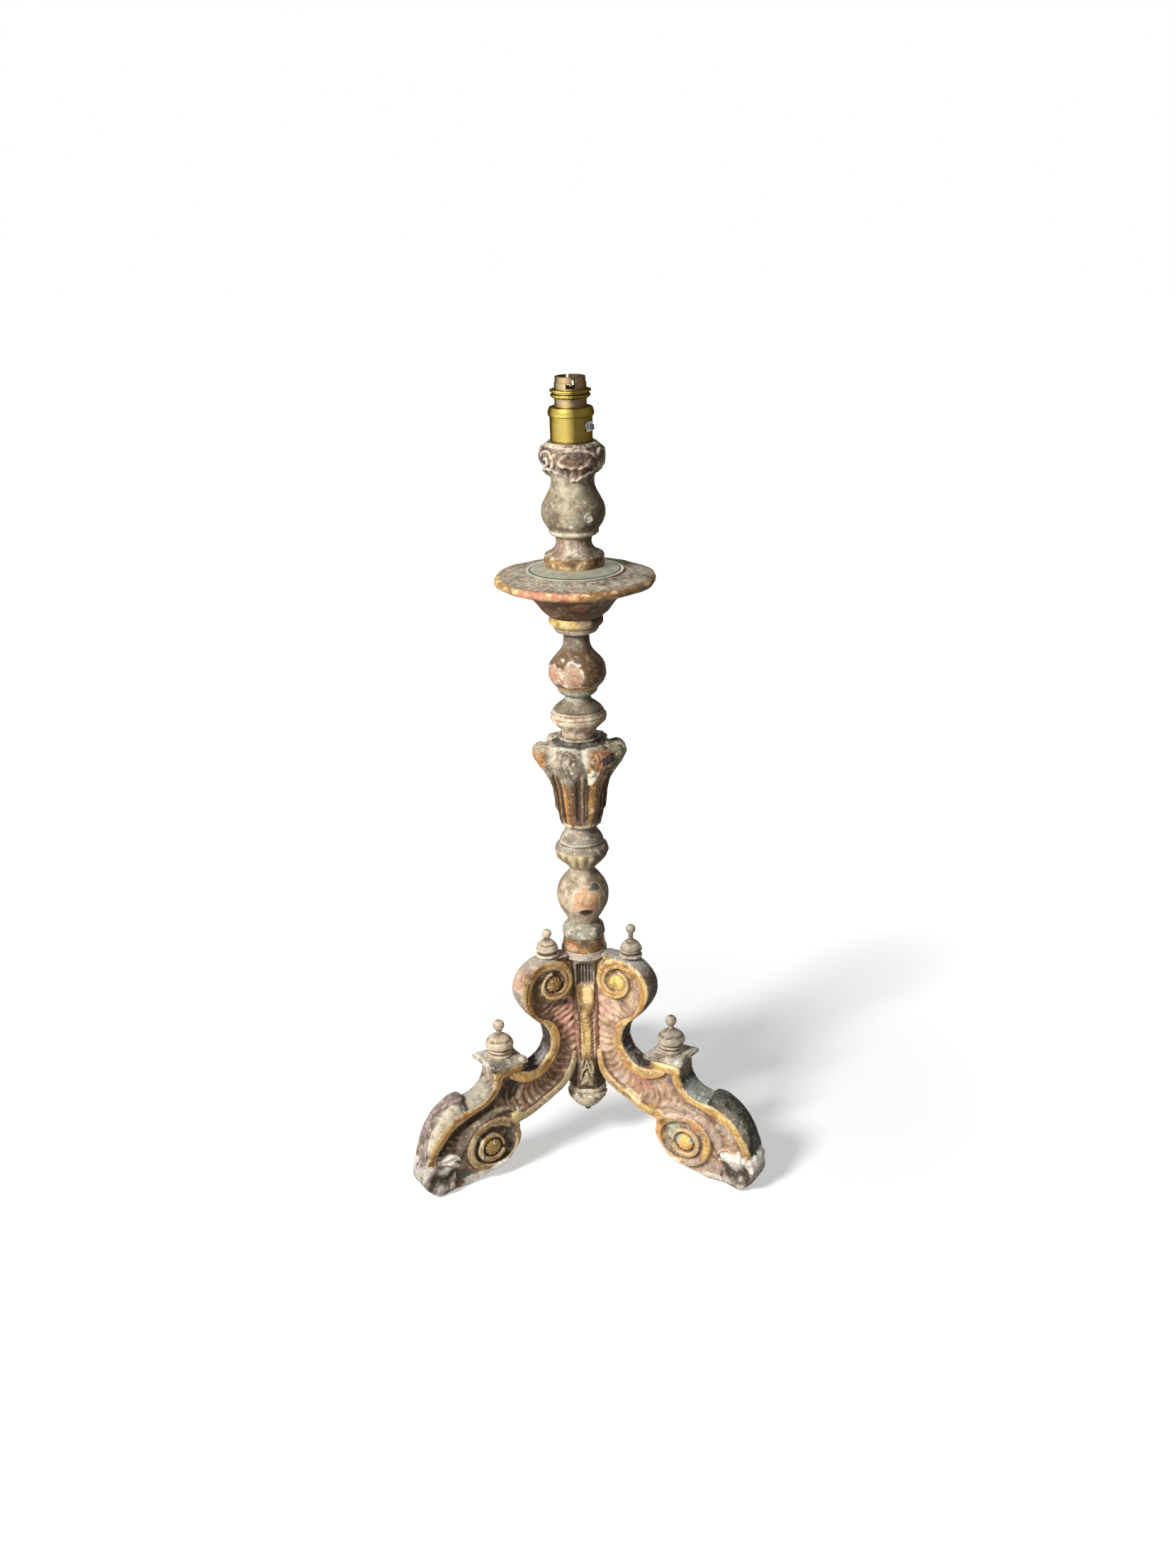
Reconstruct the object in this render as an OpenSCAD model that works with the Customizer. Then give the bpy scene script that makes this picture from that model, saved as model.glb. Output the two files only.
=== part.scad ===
/* [Overall] */
// Height of the rim of the bulb socket above the floor
total_h = 804.5; // [804:0.5:805]
// Angle between one leg and the next
leg_step = 120; // [119:0.5:121]

/* [Wiring] */
// Radius of the hole drilled for the flex down the middle
wire_r = 4; // [3:0.5:5]
// Height of the side hole where the flex leaves the hub
outlet_z = 144; // [140:1:148]

/* [Turned column] */
// Radius of the round tenons that join the turned pieces
tenon_r = 8; // [7:0.5:9]
// Height of the top of the hub, where the column stands
hub_top = 231; // [230:0.5:232]
// Height of the joint between the lower column and the capital
capital_z = 366; // [365:0.5:367]
// Height of the joint between the capital and the upper column
column_z = 456; // [455:0.5:457]
// Height of the joint between the upper column and the pan
pan_z = 580; // [579:0.5:581]
// Height of the joint between the metal plate and the nozzle
nozzle_z = 629; // [628.5:0.5:629.5]
// Height of the top of the nozzle, where the lampholder stands
holder_z = 745; // [744:0.5:745]

/* [Pan] */
// Radius of the pan
pan_r = 77.5; // [74:0.5:80]
// Radius of the metal plate on the pan
plate_r = 46; // [42:0.5:48]
// Thickness of the metal plate
plate_t = 1.2; // [1:0.1:2]

/* [Hub] */
// Distance from the middle to the flats where the legs are fixed
hub_flat = 17; // [16.5:0.5:17.5]
// Height of the underside of the hub
hub_bottom = 72; // [70:1:74]
// Radius of the round head of the hub
hub_head_r = 23.5; // [22:0.5:24]

/* [Legs] */
// Thickness of a leg where it meets the hub
leg_t = 22; // [20:0.5:23]
// Thickness of the lower scroll and the foot
foot_t = 30; // [28:0.5:32]
// Depth of the hollows carved in each face of a leg
hollow_depth = 5; // [3:0.5:5]
// Radius of the dowels that hold a leg to the hub
dowel_r = 4; // [3:0.5:4]
// Depth of a dowel in the hub
dowel_in = 11; // [9:0.5:11]
// Depth of a dowel in the leg
dowel_out = 13; // [10:1:16]

/* [Lampholder] */
// Radius of the bore that takes the cap of the bulb
socket_r = 11.2; // [11.1:0.05:11.3]
// Radius of the barrel above its thread
barrel_r = 14.25; // [14:0.05:14.4]
// Radius over the thread of the barrel
thread_r = 15; // [14.8:0.05:15.1]
// Gap between a moving piece and what guides it
play = 0.05; // [0.03:0.01:0.1]
// Direction of the switch bar, round from the front to the right
switch_az = 53; // [45:1:60]
// Direction of the entry of a pin slot, round from the front to the right
slot_az = 12; // [0:1:20]

/* [Hidden] */

wood = [0.50, 0.43, 0.36];
gilt = [0.72, 0.55, 0.25];
red_bole = [0.42, 0.24, 0.22];
brass = [0.66, 0.56, 0.22];
bronze = [0.42, 0.35, 0.18];
zinc = [0.52, 0.54, 0.48];
steel = [0.60, 0.62, 0.62];
porcelain = [0.90, 0.88, 0.83];
black = [0.10, 0.10, 0.10];

left_az = -leg_step / 2;
right_az = leg_step / 2;
back_az = 180;
eps = 0.01;

// A smooth line through a list of points, with n steps from each point to the next
function between(a, b, c, d, t) =
    0.5 * ((2 * b) + (c - a) * t + (2 * a - 5 * b + 4 * c - d) * t * t
        + (3 * b - a - 3 * c + d) * t * t * t);
function smooth(p, n = 4) =
    let (last = len(p) - 1)
    concat([for (i = [0 : last - 1], k = [0 : n - 1])
        between(p[max(i - 1, 0)], p[i], p[i + 1], p[min(i + 2, last)], k / n)], [p[last]]);
function arc(c, r, from, to, n = 12) =
    [for (i = [0 : n]) let (a = from + (to - from) * i / n) c + r * [cos(a), sin(a)]];

// Turns a shape drawn for the back leg, which points along +Y, to a leg's own direction
module at_leg(az) {
    rotate([0, 0, az - 180]) children();
}

// Stands a drawing in the plane of the leg up: x becomes the distance from the middle
module leg_slab(thick) {
    rotate([90, 0, 90])
        translate([0, 0, -thick / 2])
            linear_extrude(thick) children();
}

module turned(outline) {
    rotate_extrude($fn = 96) polygon(outline);
}

// ---- Legs ----

plinth_z = 128;
plinth_t = 6;
hub_shoulder = 222;
foot_from = 62;
foot_top = 134;
upper_eye = [42, 200];
lower_eye = [121, 38.5];
sole_from = 146;
sole_to = 178;

underside = smooth([[hub_flat, 104], [21, 93], [32, 81], [50, 70.5], [68, 63.5], [89, 58]]);
lower_curl = smooth([[89, 58], [87, 47], [90, 36], [98, 24], [109, 14], [124, 6.5], [136, 2.5],
    [sole_from, 0]], 3);
toe = smooth([[sole_to, 0], [189, 4], [197, 12], [200, 22], [198, 36], [194, 48], [187, 62],
    [173, 79], [154, 88.5], [134, 92], [122, 100], [117, 112]]);
ledge = [[117, plinth_z], [83, plinth_z]];
cove = smooth([[82, 119], [76, 114.5], [65, 115], [54, 122.5], [48, 135], [50, 148], [56, 159]]);
upper_roll = smooth([[56, 159], [63, 164], [70, 173], [75, 183], [78.5, 194], [77, 208],
    [69, 219], [58, 225.5], [48, 227], [38, 227]]);
leg_outline = concat(underside, lower_curl, toe, ledge, cove, upper_roll,
    [[hub_head_r, 228], [hub_head_r, hub_shoulder], [hub_flat, hub_shoulder]]);

// The rounded tops of the two scrolls: a narrow layer stands on a wider one
crown_upper = smooth([[62, 166], [71, 175], [78, 185], [82, 196], [81, 209], [73, 221],
    [62, 228.5], [49, 231], [30, 230]]);
crown_narrow = smooth([[114, 115], [131, 104], [143, 101], [151, 104.5], [160, 103.5],
    [172, 97.5], [182, 88], [190, 75], [194.5, 60], [195, 46], [194, 30], [188, 14]]);
crown_wide = smooth([[113, 111], [131, 98], [143, 95], [154, 97], [164, 94.5], [175, 87],
    [184, 76], [191, 61], [194, 46], [193, 30], [187, 12]]);

// The hollow carved between the gilded bands: under the outer band of the volute and the cove,
// down to the foot, back over the foot's ring and along the band of the underside, then up past
// the hub and round under the inner turn of the volute
volute_side = smooth([[49, 216], [55, 215], [61, 211], [65.6, 204.6], [68, 196], [67.4, 186.5],
    [64, 177.5], [59.5, 170], [54, 165.5], [47.4, 161.4]], 2);
cove_side = smooth([[47.4, 161.4], [38, 150], [35.6, 133], [41.9, 116.3], [55, 103.3], [72, 99],
    [86.2, 102.8], [96.8, 109.4], [103, 112.6]], 3);
ledge_side = smooth([[106, 108], [112, 98], [121.5, 89.4], [134.8, 83], [147.8, 79],
    [159.7, 73.2], [170.1, 65.4], [179.4, 54.5], [185.2, 44]], 2);
toe_side = [[180, 42.2], [167, 45.4], [157.5, 42.5], [151.5, 43]];
ring_side = arc([118, 39], 33, 18, 124, 10);
underside_side = smooth([[93, 71], [82.6, 68.4], [69.8, 72.4], [55.2, 78.2], [41.1, 85.7],
    [31, 95.5], [25.7, 105.3], [23, 117], [21, 132], [20.5, 150], [20.5, 168], [21, 180]], 2);
inner_turn_side = smooth([[26.6, 183.2], [38.5, 179.9], [49.4, 182.3], [57.8, 191.4],
    [59.5, 201.6], [54.9, 211.1], [50, 214]], 2);
hollow_outline = concat(volute_side, cove_side, ledge_side, toe_side, ring_side,
    underside_side, inner_turn_side);
foot_ring_r = 23.4;
eye_band_r = [12, 17.2];

// What is carved out of both faces of a leg, for the stretch where it is this thick
module face_hollows(thick, from, to) {
    intersection() {
        difference() {
            leg_slab(foot_t + 4) {
                polygon(hollow_outline);
                difference() {
                    translate([118.5, 40.2]) circle(r = foot_ring_r, $fn = 48);
                    translate(lower_eye) circle(r = eye_band_r[1], $fn = 48);
                }
                translate(lower_eye) circle(r = eye_band_r[0], $fn = 48);
            }
            leg_slab(thick - 2 * hollow_depth) square(260);
        }
        translate([-40, from, 0]) cube([80, to - from, 260]);
    }
}

// The three legs are carved by hand and differ a little: left, right and back
upper_finial_at = [43.5, 54.5, 50];
lower_finial_at = [102, 99.5, 101];
lower_crown_drop = [0, 4, 2];
upper_seat = 230.5;

module leg(side) {
    finial_at = upper_finial_at[side];
    crown_drop = lower_crown_drop[side];
    difference() {
        color(wood) union() {
            intersection() {
                leg_slab(leg_t) polygon(leg_outline);
                translate([-40, 0, 0]) cube([80, 260, 260]);
            }
            intersection() {
                leg_slab(foot_t) polygon(leg_outline);
                translate([-20, foot_from, 0]) cube([40, 160, foot_top]);
            }
            translate([0, 0, -crown_drop]) {
                leg_slab(foot_t - 6) polygon(concat(crown_wide, [[150, 20], [120, 60]]));
                leg_slab(foot_t - 16) polygon(concat(crown_narrow, [[152, 24], [124, 62]]));
            }
            leg_slab(leg_t - 8) polygon(concat(crown_upper, [[40, 190]]));
        }
        face_hollows(leg_t, 0, foot_from);
        face_hollows(foot_t, foot_from, 260);
        for (z = dowel_heights) translate([0, 0, z]) dowel(1);
        translate([-20, finial_at - 20, upper_seat]) cube([40, 40, 20]);
        translate([0, finial_at, upper_seat]) finial_spigot_hole();
        translate([0, lower_finial_at[side], plinth_z]) finial_spigot_hole();
    }
    color(gilt) {
        leg_slab(leg_t + 3) translate(upper_eye) circle(r = 9.5, $fn = 48);
        leg_slab(foot_t + 3) translate(lower_eye) circle(r = 8, $fn = 48);
    }
}

dowel_heights = [120, 168];

module dowel(slack = 0) {
    translate([0, hub_flat - dowel_in - slack, 0])
        rotate([-90, 0, 0]) cylinder(r = dowel_r, h = dowel_in + dowel_out + 2 * slack, $fn = 32);
}

module leg_dowels() {
    color(wood)
        for (az = [left_az, right_az, back_az], z = dowel_heights)
            at_leg(az) translate([0, 0, z]) dowel();
}

module leg_left() {
    at_leg(left_az) leg(0);
}

module leg_right() {
    at_leg(right_az) leg(1);
}

module leg_back() {
    at_leg(back_az) leg(2);
}

// ---- Hub and its pendant ----

lower_tenon_z = 190;
outlet_az = 120;
pendant_pin_r = 6;
pendant_pin_l = 16;

function hub_corner(az, side) = let (a = az - 180)
    hub_flat * [-sin(a), cos(a)] + side * leg_t / 2 * [cos(a), sin(a)];

module hub_block() {
    color(gilt) difference() {
        union() {
            translate([0, 0, hub_bottom])
                linear_extrude(hub_shoulder - hub_bottom)
                    polygon([for (az = [right_az, back_az, left_az + 360])
                        each [hub_corner(az, 1), hub_corner(az, -1)]]);
            translate([0, 0, hub_shoulder])
                cylinder(r = hub_head_r, h = hub_top - hub_shoulder, $fn = 96);
        }
        peg_hole(tenon_r, lower_tenon_z, hub_top);
        peg_hole(wire_r, outlet_z, lower_tenon_z);
        translate([0, 0, outlet_z]) sphere(r = wire_r, $fn = 48);
        translate([0, 0, outlet_z]) rotate([0, 90, outlet_az - 90])
            cylinder(r = wire_r, h = 2 * hub_flat, $fn = 48);
        for (az = [left_az, right_az, back_az], z = dowel_heights)
            at_leg(az) translate([0, 0, z]) dowel(1);
        peg_hole(pendant_pin_r, hub_bottom, hub_bottom + pendant_pin_l + 1);
    }
}

pendant_outline = concat([[0, 38.7]],
    arc([0, 42.2], 3.6, -80, 20, 5),
    [[3.2, 45], [7.6, 45.2]],
    smooth([[9.6, 46], [13.2, 49.6], [16.6, 53.6], [19.4, 58.5], [20.3, 63]], 3),
    [[19, 64.5], [18.6, 66.5]],
    smooth([[19.2, 67.5], [19.4, 69.5], [18, hub_bottom]], 3),
    [[pendant_pin_r, hub_bottom], [pendant_pin_r, hub_bottom + pendant_pin_l],
    [0, hub_bottom + pendant_pin_l]]);

module pendant_finial() {
    color(wood) turned(pendant_outline);
}

// ---- Finials and the plates under the lower ones ----

spigot_r = 2.5;
spigot_l = 12;
upper_neck = [2, 8, 8];

module finial_spigot_hole() {
    translate([0, 0, -spigot_l - 1]) cylinder(r = spigot_r, h = spigot_l + 2, $fn = 32);
}

module finial_spigot(deep) {
    translate([0, 0, -deep]) cylinder(r = spigot_r, h = deep + 1, $fn = 32);
}

function upper_finial_outline(neck) = concat([[0, 0], [11, 0], [11.6, 1.2], [11, 2.6]],
    smooth([[9.4, 3.6], [9, 4.6], [9.8, 5.6]], 3),
    smooth([[10.6, 6.2], [11.2, 7.4], [10.9, 8.8], [9.6, 12], [7, 15.2], [4.2, 17.4]], 3),
    [[2.8, 18.6], [2.4, 19.4], [2.4, 18 + neck]],
    arc([0, 21.8 + neck], 4.9, -58, 90, 12));

lower_finial_outline = concat([[0, 0], [11.6, 0], [12.2, 1.6], [11.4, 3.4], [10.8, 4.2],
    [12, 5.2], [12.4, 7], [11.6, 8.6], [11.8, 9.4]],
    smooth([[13.4, 10.2], [14.2, 12.2], [13.8, 15], [11.6, 18.6], [8, 21.6], [5, 23.2]], 3),
    [[3.6, 24.6], [3, 26], [3.2, 29]],
    arc([0, 33.7], 5.8, -56, 90, 12));

module upper_finial(side, az) {
    at_leg(az) translate([0, upper_finial_at[side], upper_seat])
        color(wood) {
            turned(upper_finial_outline(upper_neck[side]));
            finial_spigot(spigot_l);
        }
}

module lower_finial(side, az) {
    at_leg(az) translate([0, lower_finial_at[side], plinth_z + plinth_t])
        color(wood) {
            turned(lower_finial_outline);
            finial_spigot(plinth_t + spigot_l);
        }
}

module upper_finial_left() {
    upper_finial(0, left_az);
}

module upper_finial_right() {
    upper_finial(1, right_az);
}

module upper_finial_back() {
    upper_finial(2, back_az);
}

module lower_finial_left() {
    lower_finial(0, left_az);
}

module lower_finial_right() {
    lower_finial(1, right_az);
}

module lower_finial_back() {
    lower_finial(2, back_az);
}

plinth_w = 40;
plinth_l = 44;
plinth_corner = 5;

module lobed_plate(w, l, t) {
    linear_extrude(t) difference() {
        polygon(concat(
            arc([w / 2 - plinth_corner, l / 2 - plinth_corner], plinth_corner, 0, 90, 6),
            arc([-w / 2 + plinth_corner, l / 2 - plinth_corner], plinth_corner, 90, 180, 6),
            arc([-w / 2 + plinth_corner, -l / 2 + plinth_corner], plinth_corner, 180, 270, 6),
            arc([w / 2 - plinth_corner, -l / 2 + plinth_corner], plinth_corner, 270, 360, 6)));
        for (side = [-1, 1]) {
            translate([side * (w / 2 + l - 1.5), 0]) circle(r = l, $fn = 180);
            translate([0, side * (l / 2 + l - 1.5)]) circle(r = l, $fn = 180);
        }
    }
}

module plinth(side, az) {
    at_leg(az) translate([0, lower_finial_at[side], plinth_z])
        color(wood) difference() {
            union() {
                lobed_plate(plinth_w, plinth_l, plinth_t - 1.5);
                lobed_plate(plinth_w - 8, plinth_l - 9, plinth_t);
            }
            translate([0, 0, -1]) cylinder(r = spigot_r, h = plinth_t + 2, $fn = 32);
        }
}

module plinth_left() {
    plinth(0, left_az);
}

module plinth_right() {
    plinth(1, right_az);
}

module plinth_back() {
    plinth(2, back_az);
}

// ---- Turned column, capital, pan and nozzle ----

module peg(r, from, to) {
    translate([0, 0, from]) cylinder(r = r, h = to - from, $fn = 64);
}

module peg_hole(r, from, to) {
    peg(r, from - eps, to + eps);
}

lower_column_outline = concat([[0, hub_top], [22.6, hub_top]],
    smooth([[22.2, 232], [21.2, 237], [20.2, 242]], 3), [[19.2, 243.2]],
    smooth([[20.4, 244.2], [21.2, 247.5], [20.8, 251.5], [18.8, 255.8], [16.4, 258.8]], 3),
    [[14.6, 259.6], [14.4, 261.6], [16, 262.4]],
    smooth([[16.6, 264.4], [20.6, 271], [24.4, 279], [26.2, 287], [25.9, 294.5], [23, 302.5],
        [17.6, 310], [13.6, 314.4], [12.8, 317.4], [13.4, 320]], 3),
    smooth([[15.6, 321.6], [19.6, 326], [23.8, 331], [26.4, 335.6], [26.8, 339.5], [25.6, 342.8],
        [22.8, 345.6]], 3),
    smooth([[22.2, 346.4], [21.9, 349.4], [20.2, 353.4], [17, 357.8], [15.6, 361.4],
        [16.4, capital_z]], 3),
    [[0, capital_z]]);

module lower_column() {
    color(wood) difference() {
        union() {
            turned(lower_column_outline);
            peg(tenon_r, lower_tenon_z, hub_top + 1);
            peg(tenon_r, capital_z - 1, capital_z + 24);
        }
        peg_hole(wire_r, lower_tenon_z, capital_z + 24);
    }
}

leaf_count = 6;
leaf_az = 35;
bell_outline = concat([[0, capital_z], [17.6, capital_z]],
    smooth([[17.8, 368], [20.2, 372], [22.4, 377], [23.6, 385], [24.4, 395], [25.4, 404],
        [27, 412], [30, 420], [33, 428], [35, 436], [35, 443], [32, 449], [26, 453.4]], 3),
    [[21, column_z], [0, column_z]]);

// A curled leaf end: a fat roll across the top, on a thinner one where it leaves the bell
module leaf_roll(out, z, r, w) {
    translate([0, -out, z]) {
        rotate([0, 90, 0]) translate([0, 0, -w / 2]) cylinder(r = r, h = w, $fn = 40);
        for (side = [-1, 1]) translate([side * w / 2, 0, 0]) sphere(r = r, $fn = 40);
    }
}

module capital() {
    color(gilt) difference() {
        union() {
            turned(bell_outline);
            for (i = [0 : leaf_count - 1])
                rotate([0, 0, leaf_az + i * 360 / leaf_count]) {
                    leaf_roll(37, 442, 9.5, 8);
                    leaf_roll(30, 428, 7, 7);
                }
        }
        peg_hole(tenon_r, capital_z, capital_z + 25);
        peg_hole(tenon_r, column_z - 25, column_z);
        peg_hole(wire_r, capital_z, column_z);
    }
}

upper_column_outline = concat([[0, column_z], [20, column_z], [20, 457.6], [17, 458.6]],
    smooth([[16.6, 461], [17.4, 464.6], [20, 468.4], [23.6, 471.8], [26.6, 474.4], [27.8, 478],
        [27.6, 481]], 3),
    [[26.4, 481.8], [26.2, 482.6]],
    smooth([[25.8, 484], [22.8, 488], [18, 491.8], [13.8, 495.4], [12.9, 498], [13.4, 500.6]], 3),
    smooth([[16.6, 502], [19, 504.4], [19.9, 507], [20.4, 508.8]], 3),
    smooth([[21.2, 509.6], [25.2, 513.8], [27.5, 519], [28, 524.5], [27.2, 530.5], [24.4, 535.6],
        [20.2, 540.4], [16.4, 544.8], [13.9, 549.4], [12.8, 555], [12.8, 560.6]], 3),
    smooth([[15.6, 562.8], [19.6, 564.2], [21.8, 567.4], [22.2, 569.6]], 3),
    smooth([[23.6, 570.4], [25.8, 572.6], [26.3, 575.4], [25.9, 578], [24.8, pan_z]], 3),
    [[0, pan_z]]);

module upper_column() {
    color(wood) difference() {
        union() {
            turned(upper_column_outline);
            peg(tenon_r, column_z - 24, column_z + 1);
            peg(tenon_r, pan_z - 1, pan_z + 20);
        }
        peg_hole(wire_r, column_z - 24, pan_z + 20);
    }
}

plate_rise = 5;
pan_top = nozzle_z - plate_t;
nozzle_foot_r = 28.6;
tenon_foot = 606;

pan_outline = concat([[0, pan_z], [25.6, pan_z]],
    smooth([[27, 580.8], [30, 583.4], [33, 586.4], [35.4, 589.8], [38.6, 594], [42.6, 598.4],
        [47.5, 602.6]], 3),
    smooth([[49, 604.2], [60, 606.8], [pan_r - 7, 609.8], [pan_r - 1.8, 612], [pan_r, 614.4],
        [pan_r - 0.4, 616.8], [pan_r - 2, 618.4]], 3),
    [[pan_r - 5, 618.6], [plate_r, pan_top - plate_rise], [nozzle_foot_r, pan_top],
    [0, pan_top]]);

module drip_pan() {
    color(red_bole) difference() {
        turned(pan_outline);
        peg_hole(tenon_r, pan_z, pan_z + 21);
        peg_hole(tenon_r, tenon_foot - 1, pan_top);
        peg_hole(wire_r, pan_z, pan_top);
    }
}

module drip_plate() {
    color(zinc) difference() {
        turned([[0, pan_top], [nozzle_foot_r, pan_top], [plate_r, pan_top - plate_rise],
            [plate_r + 0.9, pan_top - plate_rise + 0.4], [plate_r + 1, pan_top - plate_rise + 1.3],
            [plate_r + 0.4, pan_top - plate_rise + 1.9],
            [plate_r - 0.6, pan_top - plate_rise + 1.8],
            [plate_r - 1.4, pan_top - plate_rise + plate_t + 0.3],
            [nozzle_foot_r, nozzle_z], [0, nozzle_z]]);
        peg_hole(tenon_r, pan_top - 1, nozzle_z + 1);
    }
}

nozzle_outline = concat([[0, nozzle_z], [nozzle_foot_r, nozzle_z], [28.9, 630.2], [28.7, 638.4],
    [27.8, 640.2]],
    smooth([[26.4, 640.8], [21.6, 643.2], [18, 647.4], [16.8, 651.6], [17.4, 655.8],
        [19.4, 657.8]], 3),
    smooth([[22.4, 658.8], [23.8, 661], [23.2, 663.2]], 3),
    smooth([[23.8, 664.2], [27.6, 669.2], [29.8, 675], [30.3, 680.4], [29.2, 687], [26.2, 693],
        [23, 699], [20.7, 705], [20.2, 710], [21, 714]], 3),
    smooth([[22.6, 716.4], [24.8, 719.4], [26, 722.6], [29, 727], [30.9, 731], [30.4, 734.4],
        [28.2, 737.6], [25.4, 741], [23, 743.6], [21, holder_z]], 3),
    [[0, holder_z]]);
nipple_r = 5;
nipple_foot = 722;

module nozzle() {
    color(wood) difference() {
        union() {
            turned(nozzle_outline);
            peg(tenon_r, tenon_foot, nozzle_z + 1);
        }
        peg_hole(wire_r, tenon_foot, nipple_foot);
        peg_hole(nipple_r, nipple_foot, holder_z);
    }
}

// ---- Lampholder ----

cover_t = 1.2;
cover_r = 20;
cover_top = 768.5;
cover_floor = holder_z + 2;
nipple_top = 753;
nut_t = 4;

module threaded_nipple() {
    color(brass) difference() {
        peg(nipple_r, nipple_foot, nipple_top);
        peg_hole(nipple_r - 1.5, nipple_foot, nipple_top);
    }
}

module nipple_nut() {
    color(brass) difference() {
        translate([0, 0, cover_floor]) cylinder(r = 8, h = nut_t, $fn = 6);
        peg_hole(nipple_r, cover_floor, cover_floor + nut_t);
    }
}

switch_z = 760;
bush_r = 4.2;
bar_h = 5;
bar_w = 2.6;
bar_front = 22.5;
bar_back = 20.8;
tip_l = 3;

// Turns a drawing made along -Y round to the direction of the switch bar
module at_switch() {
    translate([0, 0, switch_z]) rotate([0, 0, switch_az]) children();
}

module holder_cover() {
    color(brass) difference() {
        turned([[0, holder_z], [18.6, holder_z], [19.4, 745.6], [19.7, 747], [cover_r, cover_top],
            [cover_r - cover_t, cover_top], [19.7 - cover_t, cover_floor], [0, cover_floor]]);
        peg_hole(nipple_r, holder_z, cover_floor);
        at_switch() rotate([90, 0, 0]) translate([0, 0, -30]) cylinder(r = bush_r, h = 60, $fn = 48);
    }
}

ring_top = 777.3;
flange_top = 770.2;

module retaining_ring() {
    color(brass) difference() {
        turned([[0, cover_top], [20.4, cover_top], [21.3, 769.6], [21.6, 771.5], [21.5, 773.3],
            [20.9, 774.2], [20.7, 775.6], [20, 776.8], [18.6, ring_top], [0, ring_top]]);
        peg_hole(thread_r + 0.2, cover_top, ring_top);
        peg_hole(18.2, flange_top, 775.6);
        peg_hole(19.6, cover_top, flange_top);
    }
}

socket_top = total_h;
thread_top = 799;
block_top = 783;
cap_stop = 788.5;
cap_clear_r = 11.9;
slot_w = 2.8;
slot_floor = 794.2;
slot_turn = 28;
slot_hook = 1.8;

function sector(r_in, r_out, from, to) =
    concat(arc([0, 0], r_out, from, to, 8), arc([0, 0], r_in, to, from, 8));

module pin_slot() {
    half = 6;
    start = -90 - slot_turn;
    translate([0, 0, slot_floor]) {
        linear_extrude(20) polygon(sector(8, 20, -90 - half, -90 + half));
        linear_extrude(slot_w) polygon(sector(8, 20, start, -90 + half));
        linear_extrude(slot_w + slot_hook) polygon(sector(8, 20, start, start + 2 * half));
    }
}

module socket_barrel() {
    color(bronze) difference() {
        turned([[socket_r, cap_stop], [cap_clear_r, cap_stop], [cap_clear_r, block_top],
            [13, block_top], [13, cover_top], [19.4, cover_top], [19.4, flange_top],
            [thread_r, flange_top], [thread_r, thread_top],
            [barrel_r, thread_top + 0.6], [barrel_r, socket_top - 0.4],
            [barrel_r - 0.4, socket_top], [socket_r, socket_top]]);
        for (turn = [0, 180]) rotate([0, 0, slot_az + turn]) pin_slot();
    }
}

module shade_ring_lower() {
    color(brass) difference() {
        turned([[0, 785.2], [16.6, 785.2], [18.2, 786.4], [18.7, 787.2], [18.7, 788.2],
            [18.2, 788.6], [0, 788.6]]);
        peg_hole(thread_r + play, 785, 789);
    }
}

module shade_ring_upper() {
    color(brass) difference() {
        turned([[0, 789.4], [17.4, 789.4], [17.4, 790.8], [18.9, 791], [19.3, 791.6],
            [19.3, 792.2], [18.8, 792.8], [0, 793]]);
        peg_hole(thread_r + play, 789, 793.5);
    }
}

block_r = 12.9;
block_foot = 766;
contact_at = 5;
contact_r = 2.1;
contact_top = 788;
contact_foot = 777;
spring_foot = 770;
terminal_at = 7.5;
terminal_r = 1.6;
terminal_head = 764;

// Turns a drawing so that its x axis runs through both contacts
module at_contacts() {
    rotate([0, 0, slot_az]) children();
}

module contact_block() {
    color(porcelain) difference() {
        peg(block_r, block_foot, block_top);
        at_contacts() {
            for (side = [-1, 1]) {
                translate([side * contact_at, 0, 0])
                    peg_hole(contact_r + play, spring_foot, block_top);
                translate([0, side * terminal_at, 0])
                    peg_hole(terminal_r, block_foot, block_foot + 6);
            }
        }
    }
}

module contact_plunger(side) {
    color(brass) at_contacts() translate([side * contact_at, 0, 0])
        turned(concat([[0, contact_foot], [contact_r, contact_foot]],
            arc([0, contact_top - contact_r], contact_r, 0, 90, 6)));
}

module contact_plunger_left() {
    contact_plunger(-1);
}

module contact_plunger_right() {
    contact_plunger(1);
}

module plunger_spring(side) {
    color(steel) at_contacts() translate([side * contact_at, 0, 0]) difference() {
        peg(contact_r - 0.3, spring_foot, contact_foot);
        peg_hole(contact_r - 0.9, spring_foot, contact_foot);
    }
}

module plunger_spring_left() {
    plunger_spring(-1);
}

module plunger_spring_right() {
    plunger_spring(1);
}

module terminal_screws() {
    color(brass) at_contacts()
        for (side = [-1, 1]) translate([0, side * terminal_at, 0]) {
            peg(terminal_r, block_foot - 1, block_foot + 5.5);
            peg(terminal_r + 1, terminal_head, block_foot);
        }
}

module earth_terminal() {
    color(brass) translate([-12, 6, 0]) {
        peg(3, cover_floor, cover_floor + 5);
        peg(2, cover_floor + 4, cover_floor + 7);
    }
}

module switch_bar() {
    color(steel) at_switch()
        translate([-bar_w / 2, -bar_front, -bar_h / 2]) cube([bar_w, bar_front + bar_back, bar_h]);
}

module switch_tips() {
    color(black) at_switch() {
        translate([-bar_w / 2, -bar_front - tip_l, -bar_h / 2]) cube([bar_w, tip_l, bar_h]);
        translate([-bar_w / 2, bar_back, -bar_h / 2]) cube([bar_w, tip_l / 4, bar_h]);
    }
}

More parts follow.
